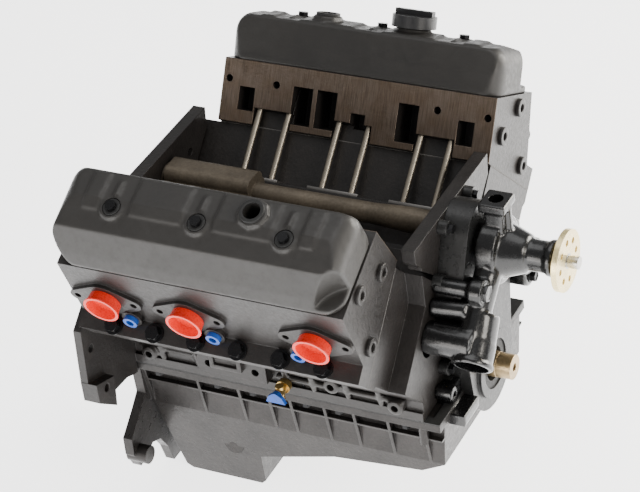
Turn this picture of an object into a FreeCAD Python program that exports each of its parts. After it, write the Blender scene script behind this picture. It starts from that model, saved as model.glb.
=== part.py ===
import FreeCAD, Part
import math
import os
import Sketcher
from FreeCAD import Placement, Rotation, Vector

# A 90 degree V6 long block, in millimetres.
# +X points to the front (water pump) end, +Z is up and +Y is the left bank's side. The origin
# lies on the crankshaft's axis, on the rear face of its flywheel flange.

DIMENSIONS = {
    # cylinders and crank train
    "bore": 101.6, "stroke": 88.4, "bore_spacing": 111.76, "bank_offset": 22.4, "bank_half_angle": 45,
    "deck_height": 229.2, "deck_half_width": 76, "bore_depth": 140, "rod_length": 144.8,
    "main_journal": 62.2, "rod_journal": 57.2, "journal_clearance": 0.04, "cam_height": 114.8,
    "split_pin_angle": 30, "web_thickness": 12, "flying_web": 3.5, "counterweight_radius": 58,
    "crank_flange_radius": 47.6, "crank_flange_thickness": 13, "flange_bolt_circle": 76.2,
    "flange_bolt_hole": 11.1, "pilot_bore": 38.1, "snout_diameter": 31.6, "snout_length": 63, "damper_seat": 20, "fan_pilot": 15.8, "fan_pilot_length": 12,
    "pilot_relief": 2, "snout_step": 0.4,
    "snout_bolt_hole": 10.3,
    # cylinder block
    "block_rear": 10, "block_length": 407, "rear_cylinder": 86, "valley_floor": 148, "front_wall": 17,
    "end_wall_top": 232, "end_wall_half_width": 108, "bank_side": 79, "jacket_depth": 98,
    "skirt_half_width": 132, "crankcase_radius": 95, "bulkhead": 26, "bell_thickness": 10.5,
    "bell_half_width": 240, "main_cap_width": 128, "main_cap_height": 50, "bearing_shell": 2.5,
    "cam_journal": 47.5, "cam_bearing": 2.2, "lifter_line": 81.2, "lifter_diameter": 21.4,
    "core_plug_diameter": 41.3, "bell_hole": 11,
    # cylinder heads
    "head_length": 374, "gasket": 1.2, "rail_centre_out": -41, "rail_rise": 94.9,
    "rail_half_width": 57, "rail_tilt": 18, "rocker_pocket_depth": 22, "rocker_pocket_wall": 8,
    "valve_offset": 23.5, "rod_offset": 20.5, "rod_hole": 9.2, "rod_notch": 21,
    "valve_line": 22, "stem_diameter": 8.7, "stem_clearance": 0.05,
    "intake_valve": 49.2, "exhaust_valve": 38.1, "valve_length": 115, "spring_diameter": 32,
    "spring_bore": 21, "port_width": 28, "port_height": 48, "port_base": 8, "port_shift": 39,
    "exhaust_ledge_out": 53, "ledge_rise": 27.6, "exhaust_port": 35, "exhaust_flange": 54,
    "flange_height": 5, "exhaust_port_drop": 56, "exhaust_bolt_spread": 76,
    "head_bolt_line": 65.5, "head_bolt_shank": 11, "plug_bore": 18,
    # valve covers
    "cover_wall": 4, "cover_height": 60, "cover_flange": 6, "cover_end_slope": 26,
    "filler_neck": 38, "filler_shift": 48, "breather_shift": 66, "breather_hole": 22,
    # valve gear
    "lifter_length": 58, "cam_lobe_base": 17, "cam_lobe_nose": 5.5, "pushrod_diameter": 7.9,
    "pushrod_line": 25, "rocker_width": 17,
    # timing drive
    "chain_pitch": 9.525, "cam_teeth": 36, "sprocket_width": 7, "chain_gap": 1.0, "chain_thickness": 7,
    "chain_width": 16, "gear_module": 2.667, "gear_teeth": 20, "gear_width": 12, "gear_ratio": 2,
    "shaft_journal": 38, "balance_radius": 13, "balance_weight_radius": 22,
    "balance_weight_length": 118, "timing_cover_depth": 34, "timing_cover_wall": 4, "cover_foot": 60,
    # water pump
    "hub_stand_off": 144, "pump_axis": 176, "hub_diameter": 76, "hub_thickness": 7, "pump_shaft": 19,
    "hub_bolt_circle": 50, "hub_bolt_hole": 8, "pump_body_radius": 62, "pump_nose_radius": 20,
    "pump_leg_out": 97, "pump_leg_up": 92, "pump_neck_bore": 44,
    # oil pan
    "pan_gasket": 2, "pan_rail": 10, "pan_front": 438, "pan_depth": 98, "sump_depth": 192,
    "sump_front": 160, "sump_rear": 44, "pan_wall": 5, "pan_bottom_half_width": 96, "rib_thickness": 4,
    # plastic caps and plugs, oil filler cap, drain cock, screws
    "cap_rim": 45, "cap_height": 14, "cap_wall": 2, "filler_cap": 56, "filler_cap_height": 15,
    "bolt_clearance": 0.05, "cap_screw": 10.9, "cap_screw_line": 53, "pan_screw": 6, "pan_screw_inset": 6,
    "cover_screw": 6, "cover_bolt": 7.8, "seal_gap": 0.35, "shaft_nose": 13, "balance_nose": 9, "press_gap": 0.02,
    "cock_along": 236,
    "cock_up": 18,
}

document = FreeCAD.newDocument("v6_long_block")
sheet = document.addObject("Spreadsheet::Sheet", "Dims")


class Size:
    """A size from the sheet, or one worked out from it: its number and the expression behind it."""

    def __init__(self, number, text):
        self.number = number
        self.text = text

    def __float__(self):
        return float(self.number)

    def __add__(self, other):
        other = size(other)
        return Size(self.number + other.number, f"({self.text} + {other.text})")

    def __sub__(self, other):
        other = size(other)
        return Size(self.number - other.number, f"({self.text} - {other.text})")

    def __mul__(self, other):
        other = size(other)
        return Size(self.number * other.number, f"({self.text} * {other.text})")

    def __truediv__(self, other):
        other = size(other)
        return Size(self.number / other.number, f"({self.text} / {other.text})")

    def __neg__(self):
        return size(-1) * self

    def __radd__(self, other):
        return size(other) + self

    def __rsub__(self, other):
        return size(other) - self

    def __rmul__(self, other):
        return size(other) * self


def size(value):
    """A plain number or a Size, as a Size."""
    return value if isinstance(value, Size) else Size(float(value), f"({float(value):.12g})")


def cosine(angle):
    angle = size(angle)
    return Size(math.cos(math.radians(angle.number)), f"cos({angle.text} * 1deg)")


def sine(angle):
    angle = size(angle)
    return Size(math.sin(math.radians(angle.number)), f"sin({angle.text} * 1deg)")


class Book:
    """Every named cell of the sheet, as an attribute."""


dims = Book()
for row, (alias, number) in enumerate(DIMENSIONS.items(), start=1):
    sheet.set(f"A{row}", alias)
    sheet.set(f"B{row}", str(number))
    sheet.setAlias(f"B{row}", alias)
    setattr(dims, alias, Size(number, f"Dims.{alias}"))
document.recompute()


# ---------------------------------------------------------------- building tools

kept = []


def bind(thing, path, value):
    thing.setExpression(path, size(value).text)


def new_body(label):
    """A body that becomes one sub-part."""
    body = document.addObject("PartDesign::Body", label)
    body.Label = label
    kept.append(body)
    return body


def sketch(body, role, out=0, turn=0, base=(0, 0, 0)):
    """A sketch on one of the body's origin planes, moved out along the plane's normal by `out`,
    or moved to `base` and turned about the plane's first axis by `turn` degrees."""
    drawing = body.newObject("Sketcher::SketchObject", f"{body.Label}_sketch")
    plane = next(f for f in body.Origin.OriginFeatures if f.Role == f"{role}_Plane")
    drawing.AttachmentSupport = (plane, [""])
    drawing.MapMode = "FlatFace"
    places = [size(base[0]), size(base[1]), size(base[2]) + out]
    spot = Vector(*(float(value) for value in places))
    drawing.AttachmentOffset = Placement(spot, Rotation(Vector(1, 0, 0), float(size(turn))))
    for axis, value in zip("xyz", places):
        bind(drawing, f"AttachmentOffset.Base.{axis}", value)
    if float(size(turn)):
        bind(drawing, "AttachmentOffset.Rotation.Angle", turn)
    return drawing


def constrain(drawing, rules):
    """Add constraints, each a kind, what it acts on and, for a measure, its size."""
    made = []
    for kind, *rest in rules:
        made.append(Sketcher.Constraint(kind, *(float(v) if isinstance(v, Size) else v for v in rest)))
    first = drawing.ConstraintCount
    drawing.addConstraint(made)
    for index, rule in enumerate(rules, start=first):
        if isinstance(rule[-1], Size):
            bind(drawing, f"Constraints[{index}]", rule[-1])


def spot_rules(geometry, point, across, up):
    """Fix a point by its distances from the sketch's origin."""
    return [("DistanceX", -1, 1, geometry, point, size(across)),
            ("DistanceY", -1, 1, geometry, point, size(up))]


def polygon(drawing, corners):
    corners = [(size(across), size(up)) for across, up in corners]
    spots = [Vector(float(across), float(up), 0) for across, up in corners]
    first = drawing.GeometryCount
    count = len(corners)
    drawing.addGeometry([Part.LineSegment(spots[i], spots[(i + 1) % count]) for i in range(count)])
    rules = []
    for i, (across, up) in enumerate(corners):
        rules.append(("Coincident", first + i, 2, first + (i + 1) % count, 1))
        rules += spot_rules(first + i, 1, across, up)
    constrain(drawing, rules)


def mirrored(corners):
    """Corners given for the positive side, with the other side's added."""
    return corners + [(-size(across), up) for across, up in reversed(corners) if float(size(across))]


def rectangle(drawing, low, high, bottom, top):
    polygon(drawing, [(low, bottom), (high, bottom), (high, top), (low, top)])


def circle(drawing, across, up, radius):
    spot = Vector(float(size(across)), float(size(up)), 0)
    index = drawing.addGeometry(Part.Circle(spot, Vector(0, 0, 1), float(size(radius))))
    constrain(drawing, spot_rules(index, 3, across, up) + [("Radius", index, size(radius))])


def belt(drawing, one, two):
    """The outline of a belt round two circles, each given as across, up and radius."""
    (x1, y1, r1), (x2, y2, r2) = ([float(size(value)) for value in end] for end in (one, two))
    length = math.hypot(x2 - x1, y2 - y1)
    heading = math.atan2(y2 - y1, x2 - x1)
    lean = math.acos((r1 - r2) / length)
    first = drawing.GeometryCount
    axis = Vector(0, 0, 1)
    low, high = heading - lean, heading + lean
    arcs = [Part.ArcOfCircle(Part.Circle(Vector(x1, y1, 0), axis, r1), high, low + 2 * math.pi),
            Part.ArcOfCircle(Part.Circle(Vector(x2, y2, 0), axis, r2), low, high)]
    points = [[Vector(x + r * math.cos(angle), y + r * math.sin(angle), 0) for angle in (low, high)]
              for x, y, r in ((x1, y1, r1), (x2, y2, r2))]
    lines = [Part.LineSegment(points[0][0], points[1][0]), Part.LineSegment(points[1][1], points[0][1])]
    drawing.addGeometry(arcs + lines)
    rules = []
    for index, end in ((first, one), (first + 1, two)):
        rules += spot_rules(index, 3, end[0], end[1]) + [("Radius", index, size(end[2]))]
    rules += [("Tangent", first, 2, first + 2, 1), ("Tangent", first + 2, 2, first + 1, 1),
              ("Tangent", first + 1, 2, first + 3, 1), ("Tangent", first + 3, 2, first, 1)]
    constrain(drawing, rules)


def extrude(kind, body, drawing, length, both=False, back=False):
    feature = body.newObject(f"PartDesign::{kind}", f"{body.Label}_{kind.lower()}")
    feature.Profile = drawing
    feature.SideType = "Symmetric" if both else "One side"
    feature.Reversed = back
    if length is None:
        feature.Type = "ThroughAll"
    else:
        bind(feature, "Length", length)
    return feature


def pad(body, drawing, length, both=False, back=False):
    return extrude("Pad", body, drawing, length, both, back)


def pocket(body, drawing, length=None, both=False, back=False):
    return extrude("Pocket", body, drawing, length, both, back)


def loft(kind, body, first, last):
    feature = body.newObject(f"PartDesign::{kind}Loft", f"{body.Label}_loft")
    feature.Profile = first
    feature.Sections = [last]
    feature.Ruled = True
    return feature


def turned(body, corners, role="XZ", kind="Revolution"):
    """A solid turned about the body's X axis from corners given as along, radius."""
    drawing = sketch(body, role)
    polygon(drawing, corners)
    feature = body.newObject(f"PartDesign::{kind}", f"{body.Label}_turned")
    feature.Profile = drawing
    feature.ReferenceAxis = (next(f for f in body.Origin.OriginFeatures if f.Role == "X_Axis"), [""])
    feature.Angle = 360
    return feature


def rounded(body, radius, test):
    """Round the edges of the body's last feature whose middle point passes the test."""
    document.recompute()
    last = body.Tip
    names = [f"Edge{i}" for i, edge in enumerate(last.Shape.Edges, start=1)
             if test(edge.valueAt((edge.FirstParameter + edge.LastParameter) / 2))]
    fillet = body.newObject("PartDesign::Fillet", f"{body.Label}_fillet")
    fillet.Base = (last, names)
    bind(fillet, "Radius", radius)
    return fillet


def disc(body, role, out, across, up, radius, length, back=False):
    """A round pad on one of the body's planes."""
    drawing = sketch(body, role, out)
    circle(drawing, across, up, radius)
    return pad(body, drawing, length, back=back)


def hexagon(drawing, across_flats):
    """A bolt head's outline about the sketch's origin."""
    corner = size(across_flats) / (2 * math.cos(math.pi / 6))
    polygon(drawing, [(corner * math.cos(math.radians(60 * i)), corner * math.sin(math.radians(60 * i)))
                      for i in range(6)])


def bolt(label, flats, head, shank, reach, washer=None):
    """A hexagon-headed bolt whose seat is at z = 0, its head above and its shank below."""
    body = document.addObject("PartDesign::Body", label)
    body.Label = label
    drawing = sketch(body, "XY")
    hexagon(drawing, flats)
    pad(body, drawing, head)
    if washer:
        disc(body, "XY", 0, 0, 0, size(washer) / 2, 2)
    disc(body, "XY", 0, 0, 0, size(shank) / 2, reach, back=True)
    return body


def group(label, master, places):
    """Copies of a master body's shape as one sub-part of separate solids."""
    document.recompute()
    copies = []
    for place in places:
        copy = master.Shape.copy()
        copy.Placement = place
        copies.append(copy)
    feature = document.addObject("Part::Feature", label)
    feature.Label = label
    feature.Shape = Part.makeCompound(copies)
    kept.append(feature)
    return feature


# ---------------------------------------------------------------- shared places

rear = dims.block_rear
front = rear + dims.block_length
half = dims.bank_half_angle
cylinder_steps = (-1, 0, 1)
middle = {1: rear + dims.rear_cylinder + dims.bore_spacing + dims.bank_offset,
          -1: rear + dims.rear_cylinder + dims.bore_spacing}
exhaust_side = {-1: -1, 0: 1, 1: 1}
head_base = dims.deck_height + dims.gasket
rail_out, rail_up = dims.rail_centre_out, head_base + dims.rail_rise
ledge_up = head_base + dims.ledge_rise
SIDES = {"left": 1, "right": -1}


def bank_place(side):
    """The frame of one bank: X along the engine, Y outboard across the deck, Z up the cylinders.
    The right bank's frame is the left one's turned half round, because both heads are one casting."""
    turn = Rotation(Vector(1, 0, 0), -float(half))
    if side < 0:
        turn = Rotation(Vector(0, 0, 1), 180) * turn
    return Placement(Vector(float(middle[side]), 0, 0), turn)


def rail_place(side):
    """The frame of a valve cover's rail: Y across the rail and Z square to it."""
    inner = Placement(Vector(0, float(rail_out), float(rail_up)),
                      Rotation(Vector(1, 0, 0), float(dims.rail_tilt)))
    return bank_place(side) * inner


def set_place(body, side, place):
    body.Placement = place(side)
    bind(body, "Placement.Base.x", middle[side])


def main_stations():
    """The middles of the four main bearings along the crank."""
    pair = rear + dims.rear_cylinder + dims.bank_offset / 2
    return [pair + dims.bore_spacing * (i - 0.5) for i in range(4)]


def cylinder_x(side, step):
    return middle[side] + dims.bore_spacing * step


def bank_sketch(body, side, height):
    """A sketch square to one bank's cylinders at a height up them. Its Y is `side` times outboard."""
    return sketch(body, "XY", turn=-half * side,
                  base=(0, size(height) * sine(half) * side, size(height) * cosine(half)))


def side_sketch(body, side, out):
    """A sketch on the outside of one bank. Its Y is minus `side` times the height up the cylinders."""
    return sketch(body, "XY", turn=-(half + 90) * side,
                  base=(0, size(out) * cosine(half) * side, -size(out) * sine(half)))


def bank_point(out, up):
    """Across and up in the engine's frame, from a bank's outboard and upward distances."""
    return (size(out) * cosine(half) + size(up) * sine(half), size(up) * cosine(half) - size(out) * sine(half))


# ---------------------------------------------------------------- cylinder block

def make_block():
    body = new_body("engine_block")
    deck = dims.deck_height
    wide = dims.deck_half_width
    skirt = dims.skirt_half_width
    floor = dims.valley_floor
    lifter_top = dims.deck_height - 70
    half_section = [
        (0, floor), (8, floor), bank_point(-dims.lifter_line - 17, lifter_top),
        bank_point(-wide + 9, lifter_top), bank_point(-wide + 9, deck), bank_point(wide, deck),
        bank_point(wide, deck - 16), bank_point(dims.bank_side - 8, deck - 22),
        bank_point(dims.bank_side - 8, deck - dims.jacket_depth), (skirt - 4, 26), (skirt - 4, 12),
        (skirt, 12), (skirt, 0)]
    drawing = sketch(body, "YZ", rear)
    polygon(drawing, mirrored(half_section))
    pad(body, drawing, dims.block_length)

    # end walls of the valley
    for start in (rear, front - dims.front_wall):
        drawing = sketch(body, "YZ", start)
        polygon(drawing, mirrored([(0, dims.end_wall_top), (dims.end_wall_half_width, dims.end_wall_top),
                                   (105, 205), (30, floor - 8), (0, floor - 8)]))
        pad(body, drawing, dims.front_wall)

    # bell-housing flange, with its lower tabs
    bell = dims.bell_half_width
    drawing = sketch(body, "YZ", rear)
    polygon(drawing, mirrored([(0, 214), (66, 214), (118, 196), (bell - 60, 160), (bell - 6, 118),
                               (bell, 40), (bell, 16), (bell - 34, -12), (bell - 52, -5), (skirt + 26, -7),
                               (skirt + 10, -14), (skirt + 1.5, -16), (skirt + 1.5, 2), (skirt, 0), (0, 0)]))
    pad(body, drawing, dims.bell_thickness)
    for side in SIDES.values():
        drawing = sketch(body, "YZ", rear)
        polygon(drawing, [((bell) * side, 44), ((bell) * side, 16), ((bell - 34) * side, -12),
                          ((bell - 40) * side, 30)])
        pad(body, drawing, dims.bell_thickness + 12)

    # engine mount pads and the boss of the drain cock on each side
    for side in SIDES.values():
        drawing = sketch(body, "XZ", -(skirt + 12) * side)
        rectangle(drawing, 120, 215, 18, 78)
        pad(body, drawing, 40, back=side < 0)
    # the right bank's front end stands back by the bank offset
    drawing = sketch(body, "YZ", front - dims.bank_offset)
    polygon(drawing, [(-x, z) for x, z in (bank_point(-wide + 1, deck + 5), bank_point(wide + 20, deck + 5),
                                           bank_point(wide + 20, deck - 60), bank_point(-wide + 40, deck - 60),
                                           bank_point(-wide + 1, deck - 20))])
    pocket(body, drawing, None, back=True)

    # cylinder bores, lifter bores and coolant passages
    for side in SIDES.values():
        drawing = bank_sketch(body, side, deck)
        for step in cylinder_steps:
            circle(drawing, cylinder_x(side, step), 0, dims.bore / 2)
        pocket(body, drawing, dims.bore_depth)
        drawing = bank_sketch(body, side, lifter_top)
        for step in cylinder_steps:
            for shift in (-1, 1):
                circle(drawing, cylinder_x(side, step) + dims.rod_offset * shift,
                       -dims.lifter_line * side, dims.lifter_diameter / 2 + 0.03)
        pocket(body, drawing, lifter_top - 92)
        # core plug seats
        drawing = side_sketch(body, side, dims.bank_side - 8)
        for step in cylinder_steps:
            circle(drawing, cylinder_x(side, step), -(deck - 62) * side, dims.core_plug_diameter / 2)
        pocket(body, drawing, 6)

    # crankcase bays between the main bulkheads
    stations = main_stations()
    for low, high in zip(stations, stations[1:]):
        drawing = sketch(body, "YZ", low + dims.bulkhead / 2)
        circle(drawing, 0, 0, dims.crankcase_radius)
        pocket(body, drawing, high - low - dims.bulkhead, back=True)
    # main bearing line, seat of the rear flange and front opening
    drawing = sketch(body, "YZ", rear)
    circle(drawing, 0, 0, dims.main_journal / 2 + dims.journal_clearance + dims.bearing_shell)
    pocket(body, drawing, None, back=True)
    drawing = sketch(body, "YZ", rear)
    circle(drawing, 0, 0, dims.crank_flange_radius + 4)
    pocket(body, drawing, stations[0] - dims.bulkhead / 2 - rear - 3, back=True)
    drawing = sketch(body, "YZ", front)
    circle(drawing, 0, 0, dims.crankcase_radius * 0.6)
    pocket(body, drawing, front - stations[3] - dims.bulkhead / 2)

    # camshaft tunnel and balance shaft bores
    drawing = sketch(body, "YZ", rear + 14)
    circle(drawing, 0, dims.cam_height, dims.cam_journal / 2 + dims.journal_clearance + dims.cam_bearing)
    pocket(body, drawing, None, back=True)
    drawing = sketch(body, "YZ", rear + 6)
    circle(drawing, 0, balance_height, dims.shaft_journal / 2 + dims.journal_clearance)
    pocket(body, drawing, None, back=True)

    # threaded holes: lower head bolts, main caps and oil pan
    for side in SIDES.values():
        drawing = bank_sketch(body, side, deck)
        for i in range(6):
            circle(drawing, middle[side] + dims.bore_spacing * (i - 2.5) / 2, dims.head_bolt_line * side,
                   dims.head_bolt_shank / 2 + dims.bolt_clearance)
        pocket(body, drawing, 24)
    drawing = sketch(body, "XY")
    for x in main_stations():
        for side in SIDES.values():
            circle(drawing, x, dims.cap_screw_line * side, dims.cap_screw / 2 + dims.bolt_clearance)
    for x, y in pan_screw_places():
        circle(drawing, x, y, dims.pan_screw / 2 + dims.bolt_clearance)
    pocket(body, drawing, 22, back=True)
    # coolant ports on the front face, under the pump's legs, and their bolt holes
    drawing = sketch(body, "YZ", front)
    for side in SIDES.values():
        circle(drawing, dims.pump_leg_out * side, dims.pump_leg_up, 17)
    pocket(body, drawing, 30)
    # bolt holes of the bell-housing face
    drawing = sketch(body, "YZ", rear)
    for across, up in bell_holes():
        circle(drawing, across, up, dims.bell_hole / 2)
    pocket(body, drawing, dims.bell_thickness + 14, back=True)
    # sides of the deck: threaded holes of the engine mount
    for side in SIDES.values():
        drawing = sketch(body, "XZ", -(skirt + 12) * side)
        for across, up in mount_holes:
            circle(drawing, across, up, 5)
        pocket(body, drawing, 25, back=side > 0)
    return body


def bell_holes():
    """Hole places of the bell-housing face, three a side and two on top."""
    places = []
    for side in SIDES.values():
        places += [(57 * side, 196), (146 * side, 163), ((dims.bell_half_width - 20) * side, 84),
                   ((dims.bell_half_width - 20) * side, 26)]
    return places


mount_holes = [(135, 32), (200, 32), (168, 64)]
balance_height = dims.cam_height + dims.gear_module * dims.gear_teeth * (1 + dims.gear_ratio) / 2


def make_caps():
    """Main bearing caps, a half ring below each bulkhead with the pump's boss left off."""
    body = document.addObject("PartDesign::Body", "main_cap_master")
    drawing = sketch(body, "YZ")
    wide, tall = dims.main_cap_width / 2, dims.main_cap_height
    polygon(drawing, mirrored([(0, 0), (wide, 0), (wide, -tall * 0.55), (wide - 22, -tall * 0.55),
                               (wide - 34, -tall), (0, -tall)]))
    pad(body, drawing, dims.bulkhead - 2, both=True)
    drawing = sketch(body, "YZ")
    circle(drawing, 0, 0, dims.main_journal / 2 + dims.journal_clearance + dims.bearing_shell)
    pocket(body, drawing, dims.bulkhead + 4, both=True)
    drawing = sketch(body, "XY")
    for side in SIDES.values():
        circle(drawing, 0, dims.cap_screw_line * side, dims.cap_screw / 2 + dims.bolt_clearance)
    pocket(body, drawing, None)
    group("main_bearing_caps", body, [Placement(Vector(float(x), 0, 0), Rotation()) for x in main_stations()])

    screw = bolt("main_cap_screw_master", 17, 10, dims.cap_screw, tall * 0.55 + 18)
    down = Rotation(Vector(1, 0, 0), 180)
    group("main_cap_bolts", screw,
          [Placement(Vector(float(x), side * float(dims.cap_screw_line), -float(tall) * 0.55), down)
           for x in main_stations() for side in SIDES.values()])


def pan_screw_places():
    """Along, across of the oil pan's screws, down both rails and between the pan's ribs."""
    line = dims.skirt_half_width - dims.pan_screw_inset
    return [(rear + along, line * side) for side in SIDES.values() for along in (38, 122, 172, 246, 290, 380)]


def make_bearings():
    """Main and camshaft bearing shells, each a thin ring."""
    for label, journal, wall, height, length in (
            ("main_bearings", dims.main_journal, dims.bearing_shell, 0, dims.bulkhead - 4),
            ("cam_bearings", dims.cam_journal, dims.cam_bearing, dims.cam_height, dims.bulkhead - 6)):
        body = document.addObject("PartDesign::Body", f"{label}_master")
        drawing = sketch(body, "YZ")
        circle(drawing, 0, 0, journal / 2 + dims.journal_clearance + wall)
        circle(drawing, 0, 0, journal / 2 + dims.journal_clearance)
        pad(body, drawing, length, both=True)
        group(label, body, [Placement(Vector(float(x), 0, float(size(height))), Rotation())
                            for x in main_stations()])


# ---------------------------------------------------------------- crank train

def pin_angles():
    """Angles of each pair's two crankpins from straight up, towards the left bank, rear to front:
    the left pin leads a bank angle less 120 degree firing steps, and the right one follows it by
    the split. Cylinder one, at the front of the left bank, is at the top of its stroke."""
    half = float(dims.split_pin_angle) / 2
    return [(middle - half, middle + half) for middle in (180, -60, 60)]


def make_crankshaft():
    body = new_body("crankshaft")
    stations = main_stations()
    journal = dims.main_journal / 2
    pin = dims.rod_journal / 2
    throw = dims.stroke / 2
    flange = dims.crank_flange_thickness
    turned(body, [(0, 0), (0, dims.crank_flange_radius), (flange, dims.crank_flange_radius),
                  (flange, journal + 4), (stations[0] - dims.bulkhead / 2 - 3.5, journal + 4),
                  (stations[0] - dims.bulkhead / 2 - 3.5, journal),
                  (stations[0] + dims.bulkhead / 2, journal), (stations[0] + dims.bulkhead / 2, 0)])
    for index, (left, right) in enumerate(pin_angles()):
        low = stations[index] + dims.bulkhead / 2
        high = stations[index + 1] - dims.bulkhead / 2
        web = dims.web_thickness
        centre = (low + high) / 2
        flying = dims.flying_web / 2
        # cheeks and their counterweights
        for start, angle in ((low, right), (high - web, left)):
            drawing = sketch(body, "YZ", start)
            across, up = sine(angle), cosine(angle)
            belt(drawing, (throw * across, throw * up, pin + 7),
                 (-throw * 0.5 * across, -throw * 0.5 * up, dims.counterweight_radius))
            pad(body, drawing, web)
        for start, length, angle in ((low + web, centre - flying - low - web, right),
                                     (centre + flying, high - web - centre - flying, left)):
            disc(body, "YZ", start, throw * sine(angle), throw * cosine(angle), pin, length)
        drawing = sketch(body, "YZ", centre - flying)
        belt(drawing, (throw * sine(left), throw * cosine(left), pin + 4),
             (throw * sine(right), throw * cosine(right), pin + 4.001))
        pad(body, drawing, dims.flying_web)
        last = stations[index + 1] + dims.bulkhead / 2
        if index < 2:
            disc(body, "YZ", high, 0, 0, journal, last - high)
        else:
            disc(body, "YZ", high, 0, 0, journal, last - high + 2)
            tip, seat = front + dims.snout_length, dims.damper_seat
            disc(body, "YZ", last + 2, 0, 0, dims.snout_diameter / 2 + dims.snout_step, tip - seat - last - 2)
            disc(body, "YZ", tip - seat, 0, 0, dims.snout_diameter / 2, seat)
    # pilot bore, flywheel bolt holes and the damper's bolt hole
    drawing = sketch(body, "YZ", 0)
    circle(drawing, 0, 0, dims.pilot_bore / 2)
    pocket(body, drawing, flange + 6, back=True)
    drawing = sketch(body, "YZ", 0)
    for i in range(6):
        circle(drawing, dims.flange_bolt_circle / 2 * math.sin(math.radians(60 * i)),
               dims.flange_bolt_circle / 2 * math.cos(math.radians(60 * i)), dims.flange_bolt_hole / 2)
    pocket(body, drawing, flange, back=True)
    drawing = sketch(body, "YZ", front + dims.snout_length)
    circle(drawing, 0, 0, dims.snout_bolt_hole / 2)
    pocket(body, drawing, 40)
    return body


def make_pistons():
    body = document.addObject("PartDesign::Body", "piston_master")
    radius = dims.bore / 2 - 0.06
    crown = dims.deck_height - dims.rod_length - dims.stroke / 2 - 0.6
    disc(body, "XY", -25, 0, 0, radius, crown + 25)
    drawing = sketch(body, "XY", -25.5)
    circle(drawing, 0, 0, radius - 6)
    pocket(body, drawing, 25.5 + crown - 9, back=True)
    drawing = sketch(body, "XZ")
    circle(drawing, 0, 0, 11.8)
    pocket(body, drawing, None, both=True)
    for turn in (0, 1):
        for low in (crown - 9, crown - 15, crown - 21)[turn::2]:
            drawing = sketch(body, "XY", low)
            circle(drawing, 0, 0, radius + 1)
            circle(drawing, 0, 0, radius - 3)
            pocket(body, drawing, 2.5, back=True)
    places = []
    quarter = Placement(Vector(), Rotation(Vector(0, 0, 1), 90))
    for side in SIDES.values():
        for step, angles in zip(cylinder_steps, pin_angles()):
            swing = math.radians(angles[0 if side > 0 else 1] - 45 * side)
            throw, rod = float(dims.stroke) / 2, float(dims.rod_length)
            height = throw * math.cos(swing) + math.sqrt(rod ** 2 - (throw * math.sin(swing)) ** 2)
            local = Placement(Vector(float(dims.bore_spacing) * step * side, 0, height), Rotation())
            places.append(bank_place(side) * local * quarter)
    group("pistons", body, places)
    pin = document.addObject("PartDesign::Body", "piston_pin_master")
    drawing = sketch(pin, "XZ")
    circle(drawing, 0, 0, 11.75)
    circle(drawing, 0, 0, 7)
    pad(pin, drawing, dims.bore - 10, both=True)
    group("piston_pins", pin, places)


def make_camshaft():
    body = new_body("camshaft")
    stations = main_stations()
    axis = dims.cam_height
    disc(body, "YZ", rear + 16, 0, axis, dims.shaft_nose, front - rear - 16 + 26)
    for x in stations:
        disc(body, "YZ", x - dims.bulkhead / 2 + 2, 0, axis, dims.cam_journal / 2, dims.bulkhead - 4)
    for side in SIDES.values():
        for step in cylinder_steps:
            for shift in (-1, 1):
                x = cylinder_x(side, step) + dims.rod_offset * shift
                angle = 120 * step + 55 * shift + 100 * side
                drawing = sketch(body, "YZ", x - 6)
                belt(drawing, (0, axis, dims.cam_lobe_base),
                     (dims.cam_lobe_base * 0.75 * math.cos(math.radians(angle)),
                      axis + dims.cam_lobe_base * 0.75 * math.sin(math.radians(angle)),
                      dims.cam_lobe_base * 0.25 + dims.cam_lobe_nose))
                pad(body, drawing, 12)
    return body


# ---------------------------------------------------------------- timing drive

def wheel(label, start, length, height, teeth, pitch_radius, depth, hub_bore, tooth_share):
    """A toothed wheel about an axis along X: a blank, one tooth and its polar pattern."""
    body = new_body(label)
    root = pitch_radius - depth * 0.55
    drawing = sketch(body, "YZ", start)
    circle(drawing, 0, 0, root)
    circle(drawing, 0, 0, hub_bore)
    pad(body, drawing, length)
    half_pitch = math.pi * pitch_radius / teeth
    drawing = sketch(body, "YZ", start)
    foot, tip = half_pitch * tooth_share * 1.3, half_pitch * tooth_share * 0.45
    polygon(drawing, [(-foot, root - 1.5), (foot, root - 1.5), (foot, root), (tip, root + depth),
                      (-tip, root + depth), (-foot, root)])
    tooth = pad(body, drawing, length)
    pattern = body.newObject("PartDesign::PolarPattern", f"{label}_pattern")
    pattern.Originals = [tooth]
    pattern.Axis = (next(f for f in body.Origin.OriginFeatures if f.Role == "X_Axis"), [""])
    pattern.Angle = 360
    bind(pattern, "Occurrences", teeth)
    body.Tip = pattern
    body.Placement = Placement(Vector(0, 0, float(size(height))), Rotation())
    bind(body, "Placement.Base.z", height)
    return body


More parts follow.
